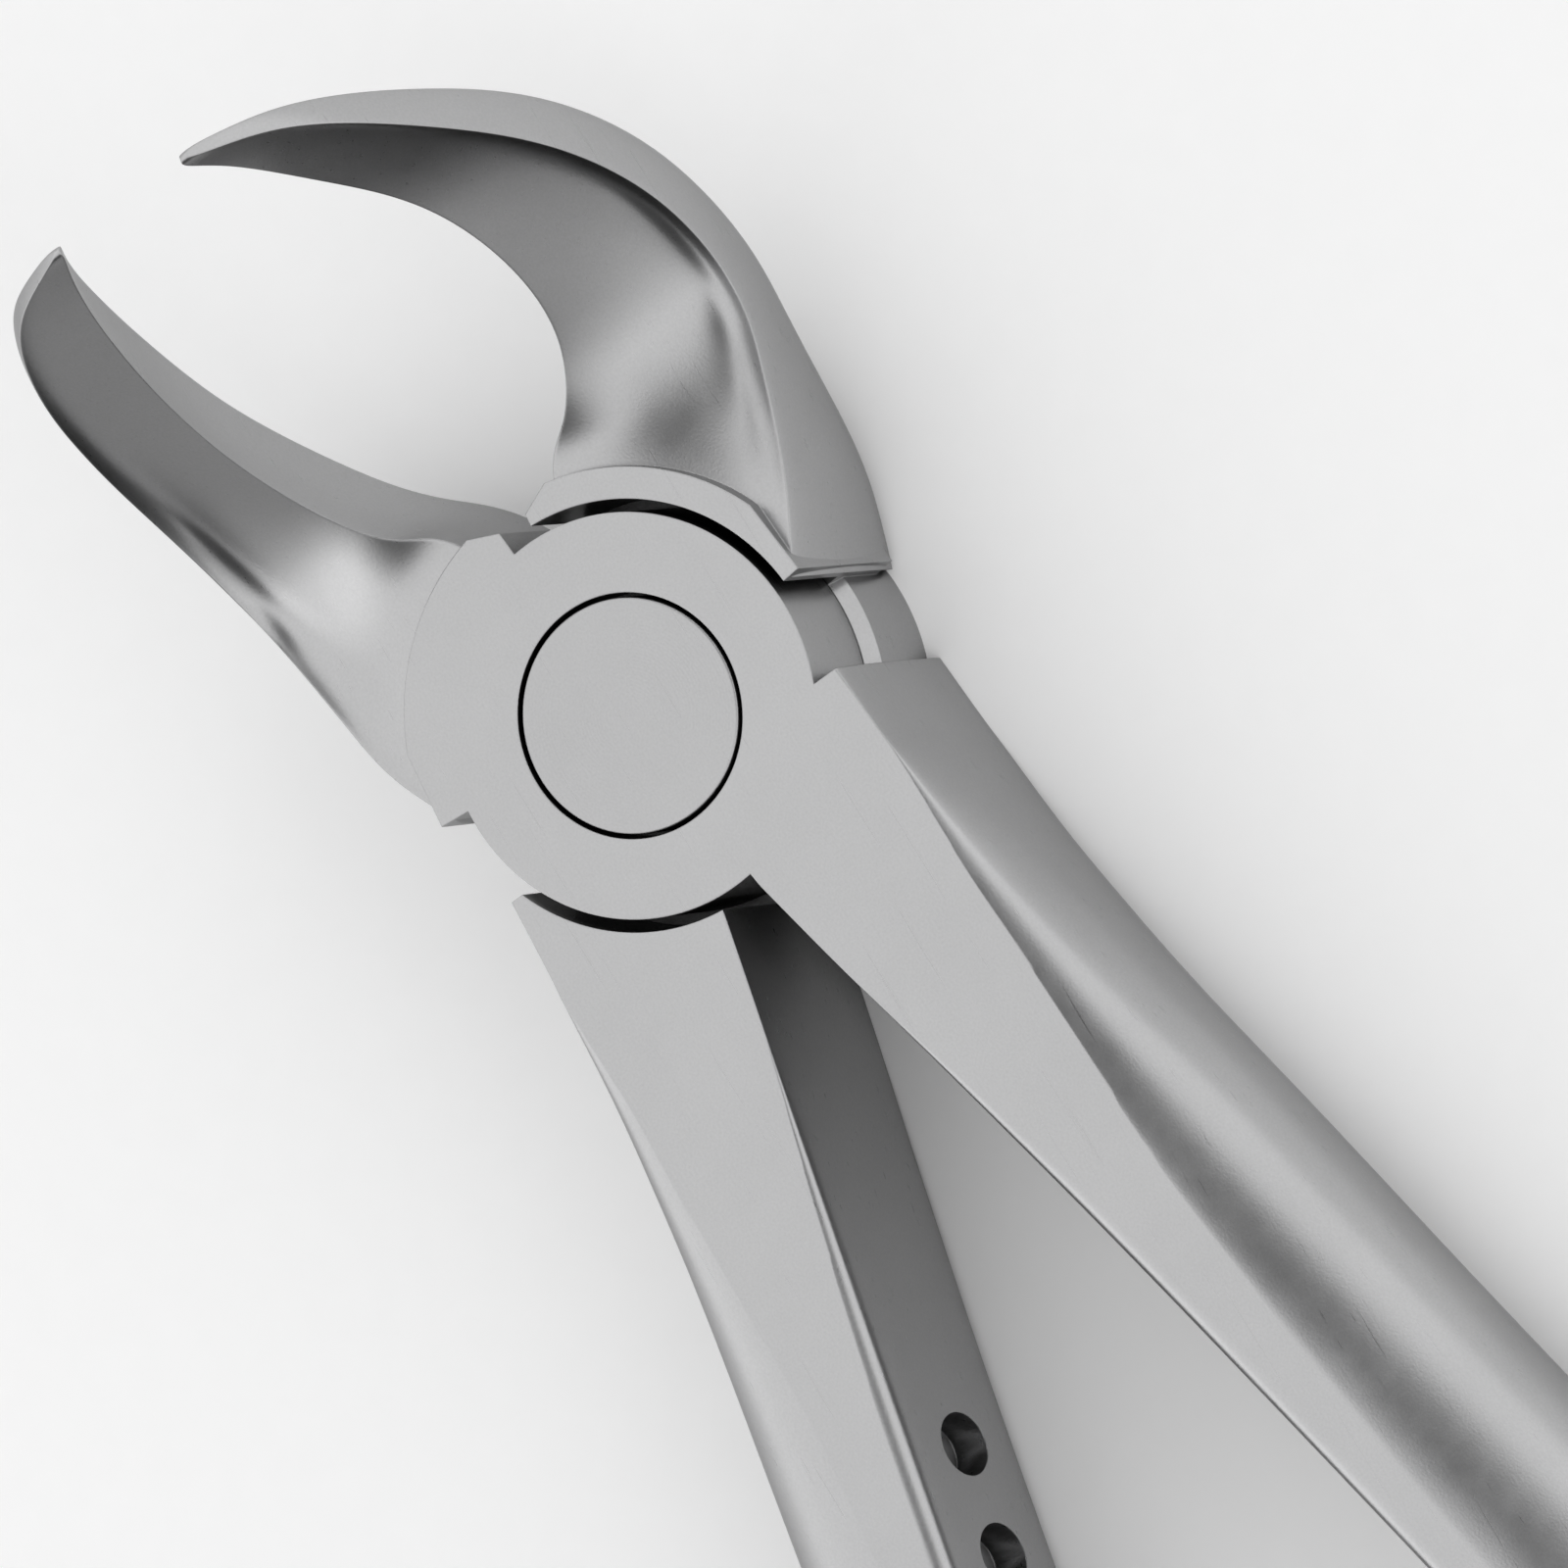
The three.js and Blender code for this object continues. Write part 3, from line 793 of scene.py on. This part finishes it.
    def land(self) -> bpy.types.Object:
        """The flat land beside the joint plate, as an extruded outline.

        Returns:
            The land.
        """
        polar = lambda radius, angle: (radius * math.cos(angle), radius * math.sin(angle))
        arc_steps = 40
        inside = self.joint.radius - self.land_root
        edge = self.joint.radius + self.land_width
        arc = [
            polar(edge, self.land_start + (self.land_end - self.land_start) * i / arc_steps)
            for i in range(arc_steps + 1)
        ]
        outline = [
            polar(inside, self.shoulder_start),
            polar(edge - self.land_notch, self.shoulder_start),
            *arc,
            polar(self.joint.radius + self.land_outer_width, self.shoulder_end),
            polar(inside, self.shoulder_end),
        ]
        return Sheet.extruded("land", outline, self.land_heel, self.joint.depth + Half.skim)


class Sheet:
    """Flat outlines pulled up into solids."""

    @staticmethod
    def extruded(
        name: str, outline: Sequence[tuple[float, float]], low: float, high: float
    ) -> bpy.types.Object:
        """Fill an outline and extrude it upwards.

        Args:
            name: the object's name.
            outline: its points in order.
            low: the underside's height.
            high: the top's height.

        Returns:
            The solid.
        """
        Bench.clear()
        bpy.ops.mesh.primitive_circle_add(vertices=len(outline), radius=MM, fill_type="NGON")
        piece = bpy.context.object
        piece.name = name
        bpy.ops.object.mode_set(mode="EDIT")
        bpy.ops.mesh.select_all(action="SELECT")
        edit = bmesh.from_edit_mesh(piece.data)
        edit.faces.ensure_lookup_table()
        for vertex, (x, y) in zip(edit.faces[0].verts, outline):
            vertex.co = (x, y, low)
        bmesh.update_edit_mesh(piece.data)
        bpy.ops.mesh.extrude_region_move(TRANSFORM_OT_translate={"value": (0.0, 0.0, high - low)})
        bpy.ops.mesh.select_all(action="SELECT")
        bpy.ops.mesh.normals_make_consistent(inside=False)
        bpy.ops.object.mode_set(mode="OBJECT")
        return piece


@dataclass(frozen=True)
class HandleStation:
    """One section of a handle.

    at is the share of the handle's length. Width and depth are shares of the handle's width
    and the joint's depth, and flat the share of the width that is flat before the outer
    crown. crease is how sharply the crown begins, and rounding the inner edges' radius in
    millimetres.
    """

    at: float
    width: float
    depth: float
    flat: float
    crease: float
    rounding: float


@dataclass
class Handle:
    """One bowed handle on the +Y side, with relief pockets in its inner face.

    A row of the crown is a share of the crown's width and its drop there: for the sharp
    crown beside the joint and then for the soft one, a slope as a share of the crown's
    width and a wall as a share of half the depth.
    """

    joint: JointSizes
    end: float = field(default_factory=lambda: -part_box("front_half")[0].x - 3.0 * MM)
    width: float = 8.2 * MM
    spread: float = 23.0 * MM
    crotch_offset: float = 0.2 * MM
    crotch_y: float = 0.9 * MM
    leave: float = math.radians(13.4)
    arrive: float = math.radians(2.0)
    pull: float = 0.34
    end_rounding: float = 3.2 * MM
    rounding_width: float = 0.75 * MM
    flat_points: tuple[float, ...] = (0.12, 0.5, 0.88, 1.0)
    side_edge: float = 0.25
    steps: int = 34
    step_power: float = 1.5
    end_turns: tuple[float, ...] = (25.0, 50.0, 72.0, 86.0)
    levels: int = 2
    first_pocket: float = 24.3 * MM
    pocket_pitch: float = 4.85 * MM
    pocket_count: int = 14
    pocket_length: float = 2.8 * MM
    pocket_width: float = 4.4 * MM
    pocket_depth: float = 1.5 * MM
    pocket_point: float = 0.8 * MM
    pocket_tip: float = 0.12
    pocket_mouth: float = 1.0 * MM
    root: tuple[float, float, float, float] = (0.376, 0.043, 0.935, 0.965)
    stations: tuple[HandleStation, ...] = (
        HandleStation(0, 1.043, 1, 0.985, 1, 0.06),
        HandleStation(0.016, 1.03, 1, 0.945, 1, 0.08),
        HandleStation(0.035, 1.018, 1, 0.875, 1, 0.12),
        HandleStation(0.053, 1.012, 1, 0.806, 1, 0.25),
        HandleStation(0.075, 1.006, 1, 0.747, 0.95, 0.5),
        HandleStation(0.102, 1, 1, 0.66, 0.8, 0.7),
        HandleStation(0.157, 1.012, 1, 0.48, 0.5, 1),
        HandleStation(0.243, 0.99, 1, 0.36, 0.25, 1),
        HandleStation(0.325, 0.99, 1, 0.28, 0.05, 1),
        HandleStation(0.6, 1.04, 0.985, 0.26, 0, 1),
        HandleStation(0.8, 1.02, 0.93, 0.26, 0, 1),
        HandleStation(1, 0.88, 0.78, 0.26, 0, 1),
    )
    crown: tuple[tuple[float, float, float, float, float], ...] = (
        (0.2, 0.08, 0.0, 0.025, 0.0),
        (0.42, 0.19, 0.0, 0.095, 0.0),
        (0.64, 0.36, 0.0, 0.2, 0.0),
        (0.82, 0.42, 0.13, 0.33, 0.0),
        (0.94, 0.42, 0.42, 0.4, 0.1),
    )

    def inner(self, t: float) -> tuple[Vector, Vector]:
        """A point and the direction of the inner face's line.

        Args:
            t: the curve's parameter, from 0 at the crotch to 1 at the end.

        Returns:
            The point and the unit tangent.
        """
        start = Vector((-self.joint.front_radius - self.crotch_offset, self.crotch_y, 0.0))
        stop = Vector((-self.end, self.spread, 0.0))
        reach = (self.end + start.x) * self.pull
        one = start + Vector((-math.cos(self.leave), math.sin(self.leave), 0.0)) * reach
        two = stop - Vector((-math.cos(self.arrive), math.sin(self.arrive), 0.0)) * reach
        s = 1.0 - t
        point = start * s**3 + one * 3 * s * s * t + two * 3 * s * t * t + stop * t**3
        slope = (one - start) * s * s + (two - one) * 2 * s * t + (stop - two) * t * t
        return point, slope.normalized()

    def size(self, t: float) -> HandleStation:
        """The section's sizes at a share of the length, between its stations.

        Args:
            t: the share of the length.

        Returns:
            The sizes there.
        """
        ats = [station.at for station in self.stations]
        values = [
            follow(ats, [getattr(station, part.name) for station in self.stations], t)
            for part in fields(HandleStation)
        ]
        return HandleStation(*values)

    def section(
        self, origin: Vector, outward: Vector, size: HandleStation, width: float, shrink: float = 1.0
    ) -> list[Vector]:
        """One outline of the handle.

        Args:
            origin: the inner face's point.
            outward: the direction across the handle.
            size: the section's sizes.
            width: its width.
            shrink: scale about the middle, for the rounded end.

        Returns:
            The outline's points.
        """
        half = size.depth * self.joint.depth / 2 + Half.skim * (1.4 * size.crease - 0.4)
        flat = size.flat * width
        crown = width - flat
        r = size.rounding * self.rounding_width
        front = [(0.0, half - r), (0.3 * r, half - 0.3 * r), (r, half)]
        front += [(r + (flat - r) * share, half) for share in self.flat_points]
        for across, sharp_slope, sharp_wall, soft_slope, soft_wall in self.crown:
            sharp = sharp_slope * crown + sharp_wall * half
            soft = soft_slope * crown + soft_wall * half
            drop = soft + (sharp - soft) * size.crease
            front.append((flat + across * crown, half - drop))
        front.append((width, self.side_edge * half))
        outline = front + [(x, -z) for x, z in reversed(front)]
        outline += [(0.0, -0.5 * half), (0.0, 0.0), (0.0, 0.5 * half)]
        middle = width / 2
        return [
            Vector(
                (
                    *(origin + outward * (middle + (across - middle) * shrink)).xy,
                    self.joint.depth / 2 + up * shrink,
                )
            )
            for across, up in outline
        ]

    def build(self) -> bpy.types.Object:
        """Sweep the handle and drill its pockets.

        Returns:
            The handle.
        """
        x, y, width, flat = self.root
        radius = self.joint.radius
        first = replace(self.size(0.0), flat=flat)
        rings = [
            self.section(Vector((-x, y, 0.0)) * radius, Vector((0.0, 1.0, 0.0)), first, width * radius)
        ]
        for step in range(self.steps + 1):
            t = (step / self.steps) ** self.step_power
            point, tangent = self.inner(t)
            size = self.size(t)
            outward = Vector((tangent.y, -tangent.x, 0.0))
            rings.append(self.section(point, outward, size, size.width * self.width))
        for turn in self.end_turns:
            angle = math.radians(turn)
            place = point + tangent * self.end_rounding * math.sin(angle)
            rings.append(self.section(place, outward, size, size.width * self.width, math.cos(angle)))
        rows = len(rings) - 1

        def fading(share: float) -> float:
            """How sharp the crown's edge is, at a share of the rings.

            Args:
                share: the share of the rings.

            Returns:
                The sharpness.
            """
            row = int(share * rows) - 1
            if not 0 <= row <= self.steps:
                return 0.0
            return max(0.0, 2.0 * self.size((row / self.steps) ** self.step_power).crease - 1.0)

        flat_edge = 2 + len(self.flat_points)
        opposite = 2 * (flat_edge + len(self.crown) + 2) - 1 - flat_edge
        creases = {flat_edge: fading, opposite: fading}
        piece = Bench.sweep("handle", rings, creases, self.levels)
        Bench.combine(piece, self.pockets(), "DIFFERENCE")
        return piece

    def pockets(self) -> bpy.types.Object:
        """The drills of the row of relief pockets, as one object.

        Returns:
            The drills.
        """
        samples = 600
        travelled = [0.0]
        for i in range(samples):
            travelled.append(
                travelled[-1] + (self.inner((i + 1) / samples)[0] - self.inner(i / samples)[0]).length
            )
        drills = []
        for i in range(self.pocket_count):
            distance = self.first_pocket + i * self.pocket_pitch
            t = sum(1 for value in travelled if value < distance) / samples
            point, tangent = self.inner(t)
            drills.append(self.drill(point, tangent))
        Bench.clear()
        for drill in drills:
            drill.select_set(True)
        bpy.context.view_layer.objects.active = drills[0]
        bpy.ops.object.join()
        return bpy.context.object

    def drill(self, point: Vector, tangent: Vector) -> bpy.types.Object:
        """One pointed oval drill, lying across the inner face.

        Args:
            point: the inner face's point under the pocket.
            tangent: the handle's direction there.

        Returns:
            The drill.
        """
        Bench.clear()
        above = self.pocket_mouth
        bpy.ops.mesh.primitive_cylinder_add(
            vertices=48, radius=0.5, depth=self.pocket_depth + above, location=(0.0, 0.0, 0.0)
        )
        piece = bpy.context.object
        edit = Bench.opened(piece)
        for face in edit.faces:
            face.select = face.normal.z < -UPRIGHT
        bmesh.update_edit_mesh(piece.data)
        bpy.ops.mesh.extrude_region_move(
            TRANSFORM_OT_translate={"value": (0.0, 0.0, -self.pocket_point)}
        )
        point_share = (self.pocket_tip, self.pocket_tip, 1.0)
        bpy.ops.transform.resize(value=point_share, center_override=(0.0, 0.0, 0.0))
        bpy.ops.object.mode_set(mode="OBJECT")
        open_way = Vector((-tangent.y, tangent.x, 0.0))
        across = open_way.cross(tangent)
        turn = Matrix(
            [
                (tangent.x * self.pocket_length, across.x * self.pocket_width, open_way.x),
                (tangent.y * self.pocket_length, across.y * self.pocket_width, open_way.y),
                (tangent.z * self.pocket_length, across.z * self.pocket_width, open_way.z),
            ]
        ).to_4x4()
        shift = open_way * (above - self.pocket_depth) / 2
        turn.translation = Vector((point.x, point.y, self.joint.depth / 2)) + shift
        piece.matrix_world = turn
        Bench.settle(piece)
        return piece


# ---------- The halves ----------


class Side(Enum):
    """Which half of the forceps."""

    FRONT = "front_half"
    REAR = "rear_half"


@dataclass
class Half:
    """One forged half: a joint plate, a beak and a handle."""

    side: Side
    joint: JointSizes
    finish: SatinSteel
    slot: str
    body: str
    # Where the painted shade on the beak's front falls: the facing direction, its soft range and the reach
    # along x in joint radii.
    blast_way: Vector = field(default_factory=lambda: Vector((-0.95, 0.0, 0.3)))
    blast_turn: tuple[float, float] = (0.5, 0.8)
    blast_reach: tuple[float, float] = (1.0, 1.5)
    face_reach: float = 10.6 * MM
    rear_reach: float = 12.0 * MM
    skim: ClassVar[float] = 0.05 * MM

    def build(self, beak: bpy.types.Object, handle: bpy.types.Object) -> bpy.types.Object:
        """Join a beak, a handle and a plate, and machine the joint.

        Args:
            beak: the beak on its own side.
            handle: the handle on its own side.

        Returns:
            The finished half.
        """
        joint = self.joint
        front = self.side is Side.FRONT
        piece = beak
        piece.name = self.side.value + "_forging"
        Bench.combine(piece, handle, "UNION")
        if front:
            recess = Bench.drum(
                "recess", joint.rear_radius + joint.rear_shoulder_gap, -MM, joint.front_bottom
            )
            plate = Bench.drum("plate", joint.front_radius, joint.front_bottom, joint.depth + self.skim)
        else:
            recess = Bench.drum(
                "recess", joint.front_radius + joint.front_shoulder_gap, joint.rear_top, joint.depth + MM
            )
            plate = Bench.drum("plate", joint.rear_radius, -self.skim, joint.rear_top)
            Bench.slope(plate, joint.rear_top, joint.rim_step, joint.rim_chamfer)
        Bench.combine(piece, recess, "DIFFERENCE")
        Bench.combine(piece, plate, "UNION")
        for tool in self.face_cutters() + (self.front_bores() if front else self.rear_bores()):
            Bench.combine(piece, tool, "DIFFERENCE")
        Bench.tidy(piece, math.radians(26.0))
        return piece

    def face_cutters(self) -> list[bpy.types.Object]:
        """Blocks that mill the front and the rear of joint and handles to one plane.

        Returns:
            The blocks.
        """
        cutters = []
        far, wide = 160 * MM, 90 * MM
        for low, high, near in (
            (self.joint.depth, self.joint.depth + 2 * MM, self.face_reach),
            (-2 * MM, 0.0, self.rear_reach),
        ):
            Bench.clear()
            bpy.ops.mesh.primitive_cube_add(
                size=1.0,
                location=((near - far) / 2, 0.0, (low + high) / 2),
                scale=(near + far, wide, high - low),
            )
            block = bpy.context.object
            Bench.settle(block)
            cutters.append(block)
        return cutters

    def front_bores(self) -> list[bpy.types.Object]:
        """The front plate's seat for the disc head, and its bore for the shank.

        Returns:
            The cutters.
        """
        joint = self.joint
        clearance = 0.05 * MM
        seat = Bench.drum(
            "seat", joint.head_radius + joint.ring_gap, joint.head_bottom - clearance, joint.depth + MM
        )
        bore = Bench.drum("bore", joint.shank_radius + clearance, -MM, joint.depth, 96)
        return [seat, bore]

    def rear_bores(self) -> list[bpy.types.Object]:
        """The rear plate's stepped bore and the nut's seat.

        Returns:
            The cutters.
        """
        joint = self.joint
        web_top = joint.nut_depth + joint.seat_web
        return [
            Bench.drum("shank_bore", joint.shank_radius + joint.seat_gap, web_top, joint.depth, 96),
            Bench.drum("thread_bore", joint.thread_radius + joint.seat_gap, -MM, joint.depth, 96),
            Bench.drum("nut_seat", joint.nut_radius + joint.seat_gap, -MM, joint.nut_depth + joint.seat_gap),
        ]

    def blast(self, piece: bpy.types.Object) -> None:
        """Mark the hollowed front of the beak, whose base colour is darkened there as painted shade.

        Args:
            piece: the finished half.
        """
        amount = piece.data.attributes.new("painted_front_shade", "FLOAT", "POINT")
        for vertex, value in zip(piece.data.vertices, amount.data):
            # Painted shade: stronger where the normal turns toward one direction and further out along the
            # beak.
            turned_up = rise(vertex.normal.dot(self.blast_way), *self.blast_turn)
            value.value = turned_up * rise(vertex.co.x / self.joint.radius, *self.blast_reach)

    def finish_up(self, piece: bpy.types.Object) -> None:
        """Dress the half and hand it to its body.

        Args:
            piece: the finished half.
        """
        # Painted shade on the beak's front, as a point attribute.
        self.blast(piece)
        piece.data.materials.clear()
        piece.data.materials.append(self.finish.material())
        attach(piece, self.body)
        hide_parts(self.side.value)
        LOG.info("%s: %d faces", piece.name, len(piece.data.polygons))


@dataclass
class Pivot:
    """The disc-headed pin and the flush nut behind it."""

    joint: JointSizes
    finish: SatinSteel
    body: str = "rear_body"
    spanner_radius: float = 0.45 * MM
    spanner_depth: float = 1.1 * MM

    def pin(self) -> bpy.types.Object:
        """Turn the pin: head, shank and threaded end, with broken edges.

        Returns:
            The pin.
        """
        joint = self.joint
        web_top = joint.nut_depth + joint.seat_web
        piece = Bench.drum("pivot_pin_turned", joint.head_radius, joint.head_bottom, joint.depth)
        Bench.rim(piece, joint.depth, joint.head_radius, joint.edge)
        shank = Bench.drum(
            "shank", joint.shank_radius, web_top + joint.seat_gap, joint.head_bottom + MM, 96
        )
        thread = Bench.drum("thread", joint.thread_radius, 0.0, web_top + MM, 96)
        Bench.rim(thread, 0.0, joint.thread_radius, joint.edge)
        Bench.combine(piece, shank, "UNION")
        Bench.combine(piece, thread, "UNION")
        Bench.tidy(piece, math.radians(30.0))
        return piece

    def nut(self) -> bpy.types.Object:
        """Turn the nut, bore it and drill its two spanner holes.

        Returns:
            The nut.
        """
        joint = self.joint
        piece = Bench.drum("pivot_nut_turned", joint.nut_radius, 0.0, joint.nut_depth)
        Bench.rim(piece, 0.0, joint.nut_radius, joint.edge)
        bore = Bench.drum("bore", joint.thread_radius + joint.seat_gap, -MM, joint.depth, 96)
        Bench.combine(piece, bore, "DIFFERENCE")
        offset = (joint.nut_radius + joint.thread_radius) / 2
        for side in (-1.0, 1.0):
            Bench.clear()
            bpy.ops.mesh.primitive_cylinder_add(
                vertices=40,
                radius=self.spanner_radius,
                depth=2 * self.spanner_depth,
                location=(side * offset, 0.0, 0.0),
            )
            hole = bpy.context.object
            Bench.settle(hole)
            Bench.combine(piece, hole, "DIFFERENCE")
        Bench.tidy(piece, math.radians(30.0))
        return piece

    def build(self) -> None:
        """Make both pieces, dress them and hand them to their body."""
        for piece, node in ((self.pin(), "pivot_pin"), (self.nut(), "pivot_nut")):
            piece.data.materials.clear()
            piece.data.materials.append(self.finish.material())
            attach(piece, self.body)
            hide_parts(node)
            LOG.info("%s: %d faces", piece.name, len(piece.data.polygons))


# ---------- Studio ----------


@dataclass(frozen=True)
class Lobe:
    """A soft round patch of the tent that is brighter or darker than the rest.

    Angles are in degrees: polar from overhead, turn from the camera's side, core and fade
    the patch's own radii. A bright patch adds its amount, and a dark one takes away that
    share of the light.
    """

    polar: float
    turn: float
    core: float
    fade: float
    amount: float


@dataclass
class Studio:
    """A pale floor, soft lights and the camera."""

    joint: JointSizes
    tilt: float = math.radians(24.0)
    azimuth: float = math.radians(-117.2)
    roll: float = math.radians(6.4)
    distance: float = 0.62
    field: float = 65.3 * MM
    shift_right: float = 6.43 * MM
    shift_down: float = 2.84 * MM
    tent: float = 1.22
    white: tuple[float, float, float, float] = (1.0, 1.0, 1.0, 1.0)
    lobes: tuple[Lobe, ...] = (
        Lobe(86.0, 220.0, 10.0, 34.0, 0.5),
        Lobe(20.0, 60.0, 10.0, 27.0, -0.9),
        Lobe(64.0, -88.0, 22.0, 42.0, -0.85),
    )

    def axes(self) -> tuple[Vector, Vector, Vector]:
        """The camera's right, up and backward directions.

        Returns:
            The three directions.
        """
        level = Vector((math.cos(self.azimuth), math.sin(self.azimuth), 0.0))
        back = level * math.sin(self.tilt) + Vector((0.0, 0.0, math.cos(self.tilt)))
        slope = level * math.cos(self.tilt) - Vector((0.0, 0.0, math.sin(self.tilt)))
        cross = back.cross(slope)
        right = slope * math.cos(self.roll) - cross * math.sin(self.roll)
        up = slope * math.sin(self.roll) + cross * math.cos(self.roll)
        return right, up, back

    def camera(self) -> None:
        """Place a long lens at the photographic angle."""
        right, up, back = self.axes()
        data = bpy.data.cameras.new("camera")
        data.sensor_width = 36.0
        data.lens = data.sensor_width * self.distance / self.field
        data.clip_start = 0.01
        data.clip_end = 20.0
        camera = bpy.data.objects.new("camera", data)
        bpy.context.scene.collection.objects.link(camera)
        aim = Vector((0.0, 0.0, self.joint.depth)) + right * self.shift_right - up * self.shift_down
        turn = Matrix((right, up, back)).transposed().to_4x4()
        turn.translation = aim + back * self.distance
        camera.matrix_world = turn
        bpy.context.scene.camera = camera

    def floor(self) -> None:
        """Lay a pale matt floor under the forceps."""
        Bench.clear()
        bpy.ops.mesh.primitive_plane_add(size=4.0, location=(0.0, 0.0, CAD_BOX[0].z))
        floor = bpy.context.object
        floor.name = "floor"
        material = bpy.data.materials.new("pale_floor")
        tree = Tree(material)
        place = tree.add("ShaderNodeTexCoord", output="Object")
        fibre = tree.add("ShaderNodeTexNoise", {}, {"Vector": place, "Scale": 600.0, "Detail": 4.0})
        tone = fibre * 0.03 + 0.95
        paper = tree.add("ShaderNodeCombineColor", {}, {"Red": tone, "Green": tone, "Blue": tone})
        shader = tree.add("ShaderNodeBsdfPrincipled", {}, {"Base Color": paper, "Roughness": 0.9})
        tree.surface(shader)
        floor.data.materials.append(material)

    def sky(self) -> None:
        """Surround the forceps with a white tent that has brighter and darker patches."""
        world = bpy.data.worlds.new("tent")
        tree = Tree(world)
        way = tree.add("ShaderNodeTexCoord", output="Generated")
        level: Any = self.tent
        for lobe in self.lobes:
            angle = self.azimuth + math.radians(lobe.turn)
            away = math.radians(lobe.polar)
            aim = (math.cos(angle) * math.sin(away), math.sin(angle) * math.sin(away), math.cos(away))
            facing = tree.add(
                "ShaderNodeVectorMath", {"operation": "DOT_PRODUCT"}, {0: way, 1: aim}, "Value"
            )
            mask = facing.between(math.cos(math.radians(lobe.fade)), math.cos(math.radians(lobe.core)))
            if lobe.amount < 0.0:
                level = level * (mask * lobe.amount + 1.0)
            else:
                level = mask * lobe.amount + level
        background = tree.add("ShaderNodeBackground", {}, {"Color": self.white, "Strength": level})
        output = tree.tree.nodes.new("ShaderNodeOutputWorld")
        tree.tree.links.new(background.socket, output.inputs["Surface"])
        bpy.context.scene.world = world

    def build(self) -> None:
        """Set up the whole studio."""
        self.camera()
        self.floor()
        self.sky()
        bpy.context.scene.view_settings.view_transform = "Standard"


def main() -> None:
    """Build the forceps and the studio."""
    logging.basicConfig(level=logging.INFO, format="%(name)s %(message)s")
    joint = JointSizes()
    Studio(joint).build()
    beak = Beak(joint).build()
    handle = Handle(joint).build()
    beak_other = Bench.mirrored(beak, "beak_other")
    handle_other = Bench.mirrored(handle, "handle_other")
    front = Half(Side.FRONT, joint, SatinSteel("front_satin"), "front_steel", "front_body")
    rear = Half(Side.REAR, joint, SatinSteel("rear_satin"), "rear_steel", "rear_body")
    front.finish_up(front.build(beak, handle_other))
    rear.finish_up(rear.build(beak_other, handle))
    Pivot(joint, SatinSteel("pivot_turned", base=0.43, roughness=0.31, turned=True)).build()


if __name__ == "__main__":
    main()
